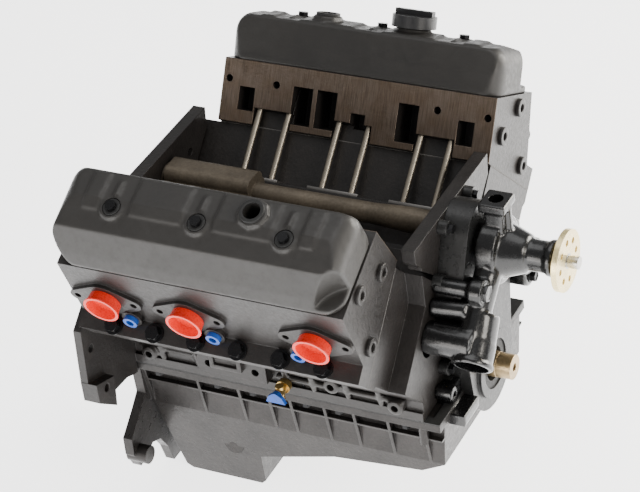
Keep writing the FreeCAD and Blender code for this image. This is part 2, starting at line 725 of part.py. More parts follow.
def make_timing_drive():
    start = front + 4
    pitch = dims.chain_pitch
    cam_pitch = pitch * dims.cam_teeth / (2 * math.pi)
    crank_pitch = cam_pitch / 2
    wheel("crank_sprocket", start, dims.sprocket_width, 0, dims.cam_teeth / 2, crank_pitch, 3.4,
          dims.snout_diameter / 2 + dims.snout_step + dims.press_gap, 0.4)
    wheel("cam_sprocket", start, dims.sprocket_width, dims.cam_height, dims.cam_teeth, cam_pitch, 3.4,
          dims.shaft_nose + dims.press_gap, 0.4)
    # the balance shaft's gear pair, in front of the chain
    module = dims.gear_module
    small = module * dims.gear_teeth / 2
    gear_start = start + dims.sprocket_width + 6
    wheel("balance_drive_gear", gear_start, dims.gear_width, dims.cam_height,
          dims.gear_teeth * dims.gear_ratio, small * dims.gear_ratio, module * 1.9,
          dims.shaft_nose + dims.press_gap, 0.4)
    driven = wheel("balance_driven_gear", gear_start, dims.gear_width, balance_height, dims.gear_teeth,
                   small, module * 1.9, dims.balance_nose + dims.press_gap, 0.4)
    half_tooth = Rotation(Vector(1, 0, 0), 180 / float(dims.gear_teeth))
    driven.Placement = Placement(driven.Placement.Base, half_tooth)
    # the chain as one closed band round both sprockets
    chain = new_body("timing_chain")
    tip = 1.6 + dims.chain_gap
    for growth, act in ((tip + dims.chain_thickness, pad), (tip, pocket)):
        drawing = sketch(chain, "YZ", start - 4)
        belt(drawing, (0, 0, crank_pitch + growth), (0, dims.cam_height, cam_pitch + growth))
        act(chain, drawing, dims.chain_width, back=act is pocket)


def make_balance_shaft():
    body = new_body("balance_shaft")
    nose = front + 4 + dims.sprocket_width + 6 + dims.gear_width
    weight = rear + dims.front_wall + 6
    journal = dims.shaft_journal / 2
    slim = dims.balance_radius
    turned(body, [(rear + 7, 0), (rear + 7, journal), (rear + dims.front_wall + 2, journal),
                  (rear + dims.front_wall + 2, slim), (front - dims.front_wall - 90, slim),
                  (front - dims.front_wall - 40, slim + 3), (front - dims.front_wall - 2, slim + 3),
                  (front - dims.front_wall - 2, journal), (front - 2, journal), (front - 2, dims.balance_nose),
                  (nose, dims.balance_nose),
                  (nose, 0)])
    drawing = sketch(body, "YZ", weight)
    belt(drawing, (-10, 0, dims.balance_weight_radius * 0.6), (10, 2, dims.balance_weight_radius * 0.6))
    pad(body, drawing, dims.balance_weight_length)
    drawing = sketch(body, "YZ", weight)
    belt(drawing, (-8, 12, 12), (8, 12, 12.001))
    pad(body, drawing, dims.balance_weight_length)
    body.Placement = Placement(Vector(0, 0, float(balance_height)), Rotation())
    bind(body, "Placement.Base.z", balance_height)
    return body


def make_timing_cover():
    body = new_body("timing_cover")
    deep, wall = dims.timing_cover_depth, dims.timing_cover_wall
    chest = dims.chain_pitch * dims.cam_teeth / (2 * math.pi) + dims.chain_thickness + 8
    foot = (0, 0, dims.cover_foot)
    chest_circle = (0, dims.cam_height, chest + wall)
    crown = (0, balance_height, dims.gear_module * dims.gear_teeth / 2 + 12)
    for ends in ((foot, chest_circle), (chest_circle, crown)):
        drawing = sketch(body, "YZ", front)
        belt(drawing, *ends)
        pad(body, drawing, deep)
    for ends in ((foot, chest_circle), (chest_circle, crown)):
        drawing = sketch(body, "YZ", front - 1)
        belt(drawing, *[(x, z, size(r) - wall) for x, z, r in ends])
        pocket(body, drawing, deep - wall + 1, back=True)
    # raised seat of the front crank seal
    disc(body, "YZ", front + deep - wall, 0, 0, 44, wall + 4)
    drawing = sketch(body, "YZ", front + deep + 10)
    circle(drawing, 0, 0, 32)
    pocket(body, drawing, wall + 20)
    # perimeter lugs for the screws
    for across, up in cover_screw_places():
        disc(body, "YZ", front, across, up, 9, 12)
    drawing = sketch(body, "YZ", front + 14)
    for across, up in cover_screw_places():
        circle(drawing, across, up, 3.3)
    pocket(body, drawing, 16)

    seal = new_body("crank_seal")
    drawing = sketch(seal, "YZ", front + deep - wall)
    circle(drawing, 0, 0, 31.98)
    circle(drawing, 0, 0, dims.snout_diameter / 2 + 6)
    pad(seal, drawing, wall + 2)


def cover_screw_places():
    """Across, up of the timing cover's screws, just outside its walls."""
    chest = dims.chain_pitch * dims.cam_teeth / (2 * math.pi) + dims.chain_thickness + 8
    chest_line = chest + dims.timing_cover_wall + 7
    crown_line = dims.gear_module * dims.gear_teeth / 2 + 12 + 7
    places = []
    for side in SIDES.values():
        places.append(((dims.cover_foot + 8.5) * side, 14))
        places.append(((dims.cover_foot + 12) * side, 40))
        places.append((chest_line * cosine(36) * side, dims.cam_height + chest_line * sine(36)))
        places.append((crown_line * cosine(35) * side, balance_height + crown_line * sine(35)))
    return places


# ---------------------------------------------------------------- cylinder heads

def make_head(name, side):
    body = new_body(f"{name}_cylinder_head")
    length = dims.head_length
    tilt = dims.rail_tilt
    edge = dims.rail_half_width
    wide = dims.deck_half_width
    rail_in = (rail_out - edge * cosine(tilt), rail_up - edge * sine(tilt))
    rail_far = (rail_out + edge * cosine(tilt), rail_up + edge * sine(tilt))
    ledge = (dims.exhaust_ledge_out, ledge_up)
    drawing = sketch(body, "YZ")
    polygon(drawing, [(-wide, head_base), (wide, head_base), (wide, ledge[1]), ledge, rail_far, rail_in])
    pad(body, drawing, length, both=True)
    # raised flanges round the exhaust ports and bosses of the spark plugs
    lean = float(math.degrees(math.atan2(float(rail_far[1] - ledge[1]), float(ledge[0] - rail_far[0]))))
    port_plane = dict(turn=-lean, base=(0, rail_far[0], rail_far[1]))
    drop = dims.exhaust_port_drop
    ports = [dims.bore_spacing * step + dims.valve_offset * exhaust_side[step] * 1.15 for step in cylinder_steps]
    for x in ports:
        drawing = sketch(body, "XY", **port_plane)
        spread = dims.exhaust_bolt_spread / 2
        belt(drawing, (x - spread, drop, 10), (x, drop, dims.exhaust_flange / 2))
        pad(body, drawing, dims.flange_height)
        drawing = sketch(body, "XY", **port_plane)
        belt(drawing, (x + spread, drop, 10), (x, drop, dims.exhaust_flange / 2))
        pad(body, drawing, dims.flange_height)
    for step in cylinder_steps:
        drawing = sketch(body, "XY", **port_plane)
        circle(drawing, dims.bore_spacing * step, spark_drop, 13)
        pad(body, drawing, spark_boss)
    # rocker pocket, open to the top
    rail_plane = dict(turn=tilt, base=(0, rail_out, rail_up))
    drawing = sketch(body, "XY", **rail_plane)
    inner = edge - dims.rocker_pocket_wall
    rectangle(drawing, -length / 2 + 9, length / 2 - 9, -inner, inner)
    pocket(body, drawing, dims.rocker_pocket_depth)
    # combustion chambers
    drawing = sketch(body, "XY", head_base)
    for step in cylinder_steps:
        circle(drawing, dims.bore_spacing * step, 0, dims.bore / 2 - 5)
    pocket(body, drawing, 14, back=True)
    # valve guides
    drawing = sketch(body, "XY", **rail_plane)
    for step in cylinder_steps:
        for shift in (-1, 1):
            circle(drawing, dims.bore_spacing * step + dims.valve_offset * shift, dims.valve_line,
                   dims.stem_diameter / 2 + dims.stem_clearance)
    pocket(body, drawing, None)
    # bowls above the valve seats
    deep = dims.valve_length - 19 - 24
    for kind, across in ((-1, dims.intake_valve), (1, dims.exhaust_valve)):
        drawing = sketch(body, "XY", turn=tilt, base=(0, rail_out + deep * sine(tilt), rail_up - deep * cosine(tilt)))
        for step in cylinder_steps:
            circle(drawing, dims.bore_spacing * step + dims.valve_offset * exhaust_side[step] * kind,
                   dims.valve_line, across / 2 + 0.2)
        pocket(body, drawing, 44)
    # intake face: ports, water passages, bolt holes and pushrod notches
    face_lean = math.degrees(math.atan2(float(-wide - rail_in[0]), float(rail_in[1] - head_base)))
    face = dict(turn=90 + face_lean, base=(0, -wide, head_base))
    drawing = sketch(body, "XY", **face)
    port_half = dims.port_width / 2
    for step in cylinder_steps:
        x = dims.bore_spacing * step - dims.port_shift * exhaust_side[step]
        rectangle(drawing, x - port_half, x + port_half, dims.port_base, dims.port_base + dims.port_height)
    pocket(body, drawing, 46)
    drawing = sketch(body, "XY", **face)
    for end in (-1, 1):
        rectangle(drawing, 151 * end - 11, 151 * end + 11, 16, 46)
    rectangle(drawing, -4, 16, 14, 34)
    pocket(body, drawing, 30)
    drawing = sketch(body, "XY", **face)
    for x in (-178, -111, 111, 178):
        circle(drawing, x, 54, 4.8)
    pocket(body, drawing, 22)
    # pushrod holes, and the notches that they leave in the intake face's lower edge
    (low_out, low_up), (top_out, top_up) = pushrod_line()
    rod_lean = math.degrees(math.atan2(top_out - low_out, top_up - low_up))
    drawing = sketch(body, "XY", turn=-rod_lean, base=(0, low_out, low_up))
    for step in cylinder_steps:
        for shift in (-1, 1):
            circle(drawing, dims.bore_spacing * step + dims.rod_offset * shift, 0, dims.rod_hole / 2)
    pocket(body, drawing, None, back=True)
    drawing = sketch(body, "XY", head_base)
    for step in cylinder_steps:
        x = dims.bore_spacing * step
        rectangle(drawing, x - dims.rod_offset - 6, x + dims.rod_offset + 6, -wide - 12, -wide + 9)
    pocket(body, drawing, dims.rod_notch, back=True)
    # exhaust ports and their stud holes
    drawing = sketch(body, "XY", **port_plane)
    for x in ports:
        circle(drawing, x, drop, dims.exhaust_port / 2)
    feature = pocket(body, drawing, 34)
    drawing = sketch(body, "XY", turn=-lean, base=(0, rail_far[0] + 8 * cosine(90 - lean), rail_far[1] + 8 * sine(90 - lean)))
    for x in ports:
        circle(drawing, x, drop, dims.exhaust_port / 2)
        for shift in (-1, 1):
            circle(drawing, x + dims.exhaust_bolt_spread / 2 * shift, drop, 4.2)
    pocket(body, drawing, 24)
    drawing = sketch(body, "XY", turn=-lean, base=(0, rail_far[0] + 8 * cosine(90 - lean), rail_far[1] + 8 * sine(90 - lean)))
    for step in cylinder_steps:
        circle(drawing, dims.bore_spacing * step, spark_drop, dims.plug_bore / 2 - 2)
    pocket(body, drawing, 30)
    # lower head bolts
    drawing = sketch(body, "XY", head_base)
    for i in range(6):
        circle(drawing, dims.bore_spacing * (i - 2.5) / 2, dims.head_bolt_line, dims.head_bolt_shank / 2 + 0.3)
    pocket(body, drawing, None, back=True)
    set_place(body, side, bank_place)

    gasket = new_body(f"{name}_head_gasket")
    drawing = sketch(gasket, "XY", dims.deck_height)
    rectangle(drawing, -length / 2, length / 2, -wide + 9, wide)
    for step in cylinder_steps:
        circle(drawing, dims.bore_spacing * step, 0, dims.bore / 2 + 0.5)
    for i in range(6):
        circle(drawing, dims.bore_spacing * (i - 2.5) / 2, dims.head_bolt_line, dims.head_bolt_shank / 2 + 0.3)
    pad(gasket, drawing, dims.gasket)
    set_place(gasket, side, bank_place)
    return body, port_plane, lean, ports


def make_cover(name, side):
    body = new_body(f"{name}_valve_cover")
    length = dims.head_length - 3
    edge = dims.rail_half_width
    tall = dims.cover_height
    flange = dims.cover_flange
    wall = dims.cover_wall
    drawing = sketch(body, "YZ")
    polygon(drawing, [(-edge, 0), (edge, 0), (edge, flange), (edge - 3, flange), (edge - 7, 20), (31, tall - 9),
                      (-8, tall), (-46, tall - 3), (-edge + 4, flange + 20), (-edge + 3, flange), (-edge, flange)])
    pad(body, drawing, length, both=True)
    rounded(body, 9, lambda point: point.z > 30 and abs(point.x) < 1)
    for end in (-1, 1):
        drawing = sketch(body, "XZ")
        far = (length / 2) * end
        polygon(drawing, [(far - 3 * end, flange), (far + 5 * end, flange), (far + 5 * end, tall + 5),
                          (far - dims.cover_end_slope * end, tall + 5), (far - (dims.cover_end_slope - 4) * end, tall - 12),
                          (far - 8 * end, 20)])
        pocket(body, drawing, None, both=True)
    # hollow scooped out of the outboard corner at the engine's front end
    hand = 1 if side > 0 else -1
    scoop = sketch(body, "XY", 9)
    circle(scoop, (length / 2 + 10) * hand, edge + 6, 26)
    pocket(body, scoop, 60, back=True)
    first = sketch(body, "XY", -0.5)
    rectangle(first, -length / 2 + 9, length / 2 - 9, -edge + 9, edge - 9)
    last = sketch(body, "XY", tall - 9 - wall)
    inset = dims.cover_end_slope + 6
    rectangle(last, -length / 2 + inset, length / 2 - inset, -46 + wall, 31 - wall)
    loft("Subtractive", body, first, last)
    if name == "left":
        disc(body, "XY", tall - 10, dims.filler_shift, -12, dims.filler_neck / 2 + 3, 16)
        drawing = sketch(body, "XY", tall + 8)
        circle(drawing, dims.filler_shift, -12, dims.filler_neck / 2)
        pocket(body, drawing, 30)
    disc(body, "XY", tall - 8, -dims.breather_shift, -22, dims.breather_hole / 2 + 5, 13)
    drawing = sketch(body, "XY", tall + 6)
    circle(drawing, -dims.breather_shift, -22, dims.breather_hole / 2)
    pocket(body, drawing, 30)
    for step in cylinder_steps:
        disc(body, "XY", tall - 12, dims.bore_spacing * step, 0, 13, 9)
    for radius, depth in ((11.5, 9), (4, 40)):
        drawing = sketch(body, "XY", tall + 6)
        for step in cylinder_steps:
            circle(drawing, dims.bore_spacing * step, 0, radius)
        pocket(body, drawing, depth)
    set_place(body, side, rail_place)
    return body


def make_valve_gear():
    """Lifters, pushrods, rockers, springs and valves, one of each for every valve."""
    lifter = document.addObject("PartDesign::Body", "lifter_master")
    turned_z(lifter, [(0, 0), (dims.lifter_diameter / 2, 0), (dims.lifter_diameter / 2, dims.lifter_length),
                      (5, dims.lifter_length), (4, dims.lifter_length - 2), (0, dims.lifter_length - 2)])
    (low_out, low_up), (top_out, top_up) = pushrod_line()
    lift_base = low_up - float(dims.lifter_length) + 2
    lifters, rods, rockers, springs = [], [], [], []
    valves = {"intake": [], "exhaust": []}
    for side in SIDES.values():
        bank = bank_place(side)
        for step in cylinder_steps:
            for shift in (-1, 1):
                rod_x = float(dims.bore_spacing) * step + float(dims.rod_offset) * shift
                x = float(dims.bore_spacing) * step + float(dims.valve_offset) * shift
                lifters.append(bank * Placement(Vector(rod_x, low_out, lift_base), Rotation()))
                foot = Vector(rod_x, low_out, low_up + 0.4)
                head = Vector(rod_x, top_out, top_up)
                rods.append(bank * Placement(foot, Rotation(Vector(0, 0, 1), head - foot)))
                rail = rail_place(side)
                rockers.append(rail * Placement(Vector((x + rod_x) / 2, 0, 0), Rotation()))
                springs.append(rail * Placement(Vector(x, float(dims.valve_line), 0), Rotation()))
                kind = "exhaust" if shift == exhaust_side[step] else "intake"
                valves[kind].append(rail * Placement(Vector(x, float(dims.valve_line), 0), Rotation()))
    group("lifters", lifter, lifters)
    rod = document.addObject("PartDesign::Body", "pushrod_master")
    reach = math.dist((low_out, low_up), (top_out, top_up)) - 1.2
    disc(rod, "XY", 0, 0, 0, dims.pushrod_diameter / 2, reach)
    group("pushrods", rod, rods)

    # rocker: a trough from the pushrod's cup over its pivot to the valve's tip
    rocker = document.addObject("PartDesign::Body", "rocker_master")
    drawing = sketch(rocker, "YZ")
    line, far = dims.pushrod_line, dims.valve_line
    polygon(drawing, [(-line - 7, 11), (-line + 7, 11), (-14, 12), (0, 12), (far - 7, 19), (far + 6, 19),
                      (far + 6, 26), (6, 28), (-16, 28), (-line - 7, 18)])
    pad(rocker, drawing, dims.rocker_width, both=True)
    drawing = sketch(rocker, "XY", 29)
    rectangle(drawing, -dims.rocker_width / 2 + 3, dims.rocker_width / 2 - 3, -line, far - 2)
    pocket(rocker, drawing, 9)
    disc(rocker, "XY", 12, 0, -6, 6, 26)
    group("rocker_arms", rocker, rockers)

    depth = dims.rocker_pocket_depth
    spring = document.addObject("PartDesign::Body", "spring_master")
    drawing = sketch(spring, "XY", -depth)
    circle(drawing, 0, 0, dims.spring_diameter / 2)
    circle(drawing, 0, 0, dims.spring_bore / 2)
    pad(spring, drawing, depth + 12)
    disc(spring, "XY", 11, 0, 0, dims.spring_diameter / 2 - 2, 4)
    drawing = sketch(spring, "XY", 16)
    circle(drawing, 0, 0, dims.stem_diameter / 2)
    pocket(spring, drawing, 8)
    group("valve_springs", spring, springs)

    for kind, across in (("intake", dims.intake_valve), ("exhaust", dims.exhaust_valve)):
        valve = document.addObject("PartDesign::Body", f"{kind}_valve_master")
        stem = dims.stem_diameter / 2
        tip = 19
        low = tip - dims.valve_length
        turned_z(valve, [(0, low), (across / 2 - 3, low), (across / 2 - 2, low + 4), (stem + 2, low + 14),
                         (stem, low + 24), (stem, tip), (0, tip)])
        group(f"{kind}_valves", valve, valves[kind])


def pushrod_line():
    """The foot and the top of a pushrod's middle line, as outboard and up in the bank's frame."""
    low = (-float(dims.lifter_line), float(dims.lifter_line) + 24 + float(dims.lifter_length) - 2)
    return low, rail_spot(-float(dims.pushrod_line), 10)


def rail_spot(across, up):
    """A point given in the rail's frame, as outboard and up in the bank's frame."""
    tilt = math.radians(float(dims.rail_tilt))
    return (float(rail_out) + across * math.cos(tilt) - up * math.sin(tilt),
            float(rail_up) + across * math.sin(tilt) + up * math.cos(tilt))


def turned_z(body, corners):
    """A solid turned about the body's Z axis from corners given as radius, height."""
    drawing = sketch(body, "XZ")
    polygon(drawing, corners)
    feature = body.newObject("PartDesign::Revolution", f"{body.Label}_turned")
    feature.Profile = drawing
    feature.ReferenceAxis = (next(f for f in body.Origin.OriginFeatures if f.Role == "Z_Axis"), [""])
    feature.Angle = 360
    return feature


# ---------------------------------------------------------------- water pump

def make_water_pump():
    body = new_body("water_pump_housing")
    axis = dims.pump_axis
    face = front + dims.hub_stand_off
    nose = dims.pump_nose_radius
    back = front + dims.timing_cover_depth + 8
    turned(body, [(back, 0), (back, dims.pump_body_radius * 0.62), (back + 6, dims.pump_body_radius * 0.7),
                  (back + 24, dims.pump_body_radius * 0.66), (back + 34, nose + 8), (back + 50, nose + 2),
                  (face - dims.hub_thickness - 8, nose), (face - dims.hub_thickness - 8, 0)])
    # legs out to the coolant ports of the block
    for side in SIDES.values():
        drawing = sketch(body, "YZ", back + 2)
        belt(drawing, (0, 0, 30), (dims.pump_leg_out * side, dims.pump_leg_up - axis, 24))
        pad(body, drawing, 24)
        drawing = sketch(body, "YZ", front)
        belt(drawing, (dims.pump_leg_out * side, dims.pump_leg_up - axis + 16, 20),
             (dims.pump_leg_out * side, dims.pump_leg_up - axis - 22, 20.001))
        pad(body, drawing, back - front + 14)
    # inlet neck, down and outboard on the right
    neck = sketch(body, "XZ", dims.pump_leg_out + 4)
    circle(neck, back + 8, dims.pump_leg_up - axis - 20, dims.pump_neck_bore / 2 + 3)
    pad(body, neck, 46)
    neck = sketch(body, "XZ", dims.pump_leg_out + 60)
    circle(neck, back + 8, dims.pump_leg_up - axis - 20, dims.pump_neck_bore / 2)
    pocket(body, neck, 60)
    # square outlet pad on top
    drawing = sketch(body, "XY", 0)
    rectangle(drawing, back - 2, back + 34, -18, 18)
    pad(body, drawing, 72)
    drawing = sketch(body, "XY", 74)
    circle(drawing, back + 16, 0, 9)
    pocket(body, drawing, 34)
    # bore of the shaft
    drawing = sketch(body, "YZ", back - 1)
    circle(drawing, 0, 0, dims.pump_shaft / 2 + dims.journal_clearance)
    pocket(body, drawing, None, back=True)
    drawing = sketch(body, "YZ", back - 1)
    circle(drawing, 0, 0, 34)
    pocket(body, drawing, 17, back=True)
    body.Placement = Placement(Vector(0, 0, float(axis)), Rotation())
    bind(body, "Placement.Base.z", axis)

    shaft = new_body("pump_shaft")
    disc(shaft, "YZ", back + 4, 0, 0, dims.pump_shaft / 2, face - back - 4)
    disc(shaft, "YZ", face, 0, 0, dims.fan_pilot / 2 - dims.snout_step, dims.pilot_relief)
    disc(shaft, "YZ", face + dims.pilot_relief, 0, 0, dims.fan_pilot / 2, dims.fan_pilot_length)
    hub = new_body("pump_hub")
    drawing = sketch(hub, "YZ", face)
    circle(drawing, 0, 0, dims.hub_diameter / 2)
    circle(drawing, 0, 0, dims.pump_shaft / 2)
    pad(hub, drawing, dims.hub_thickness, back=True)
    drawing = sketch(hub, "YZ", face - dims.hub_thickness)
    circle(drawing, 0, 0, 17)
    circle(drawing, 0, 0, dims.pump_shaft / 2)
    pad(hub, drawing, 6, back=True)
    drawing = sketch(hub, "YZ", face)
    for i in range(8):
        angle = math.radians(45 * i)
        circle(drawing, dims.hub_bolt_circle / 2 * math.sin(angle), dims.hub_bolt_circle / 2 * math.cos(angle),
               dims.hub_bolt_hole / 2)
    pocket(hub, drawing, dims.hub_thickness)
    impeller = new_body("pump_impeller")
    drawing = sketch(impeller, "YZ", back + 4)
    circle(drawing, 0, 0, 31)
    circle(drawing, 0, 0, dims.pump_shaft / 2)
    pad(impeller, drawing, 3)
    drawing = sketch(impeller, "YZ", back + 7)
    rectangle(drawing, -1.5, 1.5, 10, 30)
    vane = pad(impeller, drawing, 6)
    pattern = impeller.newObject("PartDesign::PolarPattern", "impeller_pattern")
    pattern.Originals = [vane]
    pattern.Axis = (next(f for f in impeller.Origin.OriginFeatures if f.Role == "X_Axis"), [""])
    pattern.Angle = 360
    pattern.Occurrences = 6
    impeller.Tip = pattern
    for item in (shaft, hub, impeller):
        item.Placement = Placement(Vector(0, 0, float(axis)), Rotation())
        bind(item, "Placement.Base.z", axis)


# ---------------------------------------------------------------- oil pan

rib_places = (93, 151, 193, 223, 270, 310, 356, 404)


def make_oil_pan():
    body = new_body("oil_pan")
    top = -dims.pan_gasket
    skirt = dims.skirt_half_width
    rail = dims.pan_rail
    low = dims.pan_bottom_half_width
    ahead = dims.pan_front
    bottom, sump = dims.pan_depth, dims.sump_depth
    outline = [(rear + 2, 0), (dims.sump_rear, -sump + 6), (dims.sump_rear + 8, -sump),
               (dims.sump_front - 6, -sump), (dims.sump_front, -sump + 6), (dims.sump_front + 4, -bottom - 40),
               (dims.sump_front + 116, -bottom - 6), (ahead - 40, -bottom + 6), (ahead - 6, -bottom + 26),
               (ahead, 0)]
    side = sketch(body, "XZ")
    polygon(side, [(x, top + z) for x, z in outline])
    pad(body, side, 2 * skirt - 4, both=True)
    # bays between the upright ribs and between the two ribs that run along the sides
    bays = [rear + 16] + [rear + place for place in rib_places] + [ahead + 1]
    edge = dims.rib_thickness / 2
    for high, deep, first in ((rail, 18, 0), (rail + 21, 42, 0), (rail + 66, 90, 2)):
        drawing = sketch(body, "XY", top - high)
        for one, other in list(zip(bays, bays[1:]))[first:]:
            for turn in SIDES.values():
                rectangle(drawing, one + edge, other - edge, *sorted(
                    ((skirt - 14) * turn, (skirt + 1) * turn), key=float))
        pocket(body, drawing, deep)
    # the sides lean in towards the bottom
    drawing = sketch(body, "YZ", rear - 1)
    for turn in SIDES.values():
        polygon(drawing, [((skirt + 1) * turn, top - rail), ((skirt - 3) * turn, top - rail),
                          (low * turn, top - sump - 1), ((skirt + 1) * turn, top - sump - 1)])
    pocket(body, drawing, None, back=True)
    # rail round the top, and the rear flange with the ears that meet the bell housing
    drawing = sketch(body, "XY", top)
    rectangle(drawing, rear, ahead, -skirt, skirt)
    pad(body, drawing, rail, back=True)
    drawing = sketch(body, "YZ", rear)
    polygon(drawing, mirrored([(0, top), (skirt, top), (skirt - 2, -52), (150, -70), (178, -92), (179, -117),
                               (168, -142), (150, -138), (134, -130), (116, -138), (102, -162),
                               (low - 2, -sump + 2), (0, -sump + 2)]))
    pad(body, drawing, 13)
    for turn in SIDES.values():
        disc(body, "YZ", rear, 166 * turn, -122, 12, 28)
    # drain boss low on each side, and a tube stub at the front
    for turn in SIDES.values():
        drawing = sketch(body, "XZ", -(low - 4) * turn)
        circle(drawing, 128, -128, 14)
        pad(body, drawing, 16, back=turn > 0)
        drawing = sketch(body, "XZ", -(low + 12) * turn)
        circle(drawing, 128, -128, 6)
        pocket(body, drawing, 10, back=turn < 0)
    disc(body, "XY", top - rail, ahead - 26, -skirt + 7, 6, 26, back=True)
    # the hollow inside
    wall = dims.pan_wall
    side = sketch(body, "XZ")
    inner = [(rear + 16, 1), (dims.sump_rear + wall, -sump + 6 + wall), (dims.sump_rear + 8 + wall, -sump + wall),
             (dims.sump_front - 6 - wall, -sump + wall), (dims.sump_front - wall, -sump + 6 + wall),
             (dims.sump_front + 4 - wall, -bottom - 40 + wall), (dims.sump_front + 116, -bottom - 6 + wall),
             (ahead - 40 - wall / 2, -bottom + 6 + wall), (ahead - 12, -bottom + 28 + wall), (ahead - 12, 1)]
    polygon(side, [(x, top + z) for x, z in inner])
    pocket(body, side, 2 * (low - wall), both=True)
    # half-round openings for the rear flange and for the timing cover's foot
    for start, radius, depth in ((rear - 1, dims.crank_flange_radius + 4, 24),
                                 (front - 1, dims.cover_foot + 0.5, ahead - front + 2)):
        drawing = sketch(body, "YZ", start)
        circle(drawing, 0, 0, radius)
        pocket(body, drawing, depth, back=True)
    drawing = sketch(body, "XY", top)
    for x, y in pan_screw_places():
        circle(drawing, x, y, dims.pan_screw / 2 + dims.bolt_clearance)
    pocket(body, drawing, rail)
    return body


def make_gaskets():
    gasket = new_body("oil_pan_gasket")
    drawing = sketch(gasket, "XY", 0)
    skirt = dims.skirt_half_width
    ahead = dims.pan_front
    rectangle(drawing, rear, ahead, -skirt, skirt)
    rectangle(drawing, rear + 14, ahead - 12, -skirt + 12, skirt - 12)
    pad(gasket, drawing, dims.pan_gasket, back=True)
    drawing = sketch(gasket, "YZ", ahead - 20)
    circle(drawing, 0, 0, dims.cover_foot + 0.5)
    pocket(gasket, drawing, 24, back=True)
    # half-round seal under the crankshaft's rear flange
    disc(gasket, "YZ", rear, 0, 0, dims.crank_flange_radius + 4, 14)
    drawing = sketch(gasket, "YZ", rear - 1)
    circle(drawing, 0, 0, dims.crank_flange_radius + 1.5)
    pocket(gasket, drawing, 16, back=True)
    drawing = sketch(gasket, "XY", 0)
    rectangle(drawing, rear - 1, rear + 16, -skirt, skirt)
    pocket(gasket, drawing, 70, back=True)
    drawing = sketch(gasket, "XY", 0)
    for x, y in pan_screw_places():
        circle(drawing, x, y, dims.pan_screw / 2 + dims.bolt_clearance)
    pocket(gasket, drawing, dims.pan_gasket)


# ---------------------------------------------------------------- screws, plugs and caps

def make_screws():
    turn_front = Rotation(Vector(0, 1, 0), 90)
    head_bolt = bolt("head_bolt_master", 16, 9, dims.head_bolt_shank,
                     ledge_up - dims.deck_height + 20, 24)
    group("head_bolts", head_bolt,
          [bank_place(side) * Placement(Vector(float(dims.bore_spacing) * (i - 2.5) / 2,
                                               float(dims.head_bolt_line), float(ledge_up)),
                                        Rotation()) for side in SIDES.values() for i in range(6)])
    cover_bolt = bolt("valve_cover_bolt_master", 12, 8, dims.cover_bolt, 30, 18)
    group("valve_cover_bolts", cover_bolt,
          [rail_place(side) * Placement(Vector(float(dims.bore_spacing) * step, 0, float(dims.cover_height) - 3),
                                        Rotation()) for side in SIDES.values() for step in cylinder_steps])
    pan_screw = bolt("pan_screw_master", 10, 6, dims.pan_screw, dims.pan_gasket + dims.pan_rail + 18)
    down = Rotation(Vector(1, 0, 0), 180)
    group("oil_pan_bolts", pan_screw,
          [Placement(Vector(float(x), float(y), -float(dims.pan_gasket) - float(dims.pan_rail)), down)
           for x, y in pan_screw_places()])
    cover_screw = bolt("timing_cover_screw_master", 10, 6, dims.cover_screw, 12)
    group("timing_cover_bolts", cover_screw,
          [Placement(Vector(float(front) + 12, float(size(y)), float(size(z))), turn_front)
           for y, z in cover_screw_places()])


def port_frame(side, x, drop, lift):
    """A frame on the exhaust face: Z out of the face, at `x` along and `drop` down from the rail."""
    tilt, edge = math.radians(float(dims.rail_tilt)), float(dims.rail_half_width)
    far = (float(rail_out) + edge * math.cos(tilt), float(rail_up) + edge * math.sin(tilt))
    down = (float(dims.exhaust_ledge_out) - far[0], float(ledge_up) - far[1])
    length = math.hypot(*down)
    down = (down[0] / length, down[1] / length)
    outward = (-down[1], down[0])
    spot = Vector(float(x), far[0] + down[0] * drop + outward[0] * lift,
                  far[1] + down[1] * drop + outward[1] * lift)
    turn = Rotation(Vector(1, 0, 0), -math.degrees(math.atan2(outward[0], outward[1])))
    return bank_place(side) * Placement(spot, turn)


def make_caps_and_plugs():
    """Transit caps in the exhaust ports, plugs in the spark plug holes and core plugs."""
    cap = document.addObject("PartDesign::Body", "exhaust_cap_master")
    bore = dims.exhaust_port / 2 - dims.bolt_clearance
    rim, wall, tall = dims.cap_rim / 2, dims.cap_wall, dims.cap_height
    turned_z(cap, [(0, -6), (bore, -6), (bore, 0), (rim - 2.5, 0.02), (rim - 1.5, tall - 2), (rim, tall - 2),
                   (rim, tall), (rim - wall - 1.5, tall), (rim - wall - 3, 2), (0, 2)])
    places = []
    for side in SIDES.values():
        for step in cylinder_steps:
            x = dims.bore_spacing * step + dims.valve_offset * exhaust_side[step] * 1.15
            places.append(port_frame(side, x, float(dims.exhaust_port_drop), float(dims.flange_height)))
    group("exhaust_port_caps", cap, places)

    plug = document.addObject("PartDesign::Body", "spark_hole_plug_master")
    disc(plug, "XY", -8, 0, 0, dims.plug_bore / 2 - 2 - dims.bolt_clearance, 8)
    disc(plug, "XY", 0, 0, 0, dims.plug_bore / 2, 6)
    drawing = sketch(plug, "XY", 7)
    circle(drawing, 0, 0, 5)
    pocket(plug, drawing, 9)
    group("spark_hole_plugs", plug,
          [port_frame(side, dims.bore_spacing * step, spark_drop, spark_boss)
           for side in SIDES.values() for step in cylinder_steps])

    core = document.addObject("PartDesign::Body", "core_plug_master")
    turned_z(core, [(0, -6), (dims.core_plug_diameter / 2, -6), (dims.core_plug_diameter / 2, -1),
                    (dims.core_plug_diameter / 2 - 2, -1), (dims.core_plug_diameter / 2 - 3, -4), (0, -4)])
    places = []
    for side in SIDES.values():
        for step in cylinder_steps:
            spot = Vector(float(dims.bore_spacing) * step * side, float(dims.bank_side) - 8,
                          float(dims.deck_height) - 62)
            places.append(bank_place(side) * Placement(spot, Rotation(Vector(1, 0, 0), -90)))
    group("core_plugs", core, places)


spark_drop = 84
spark_boss = 7


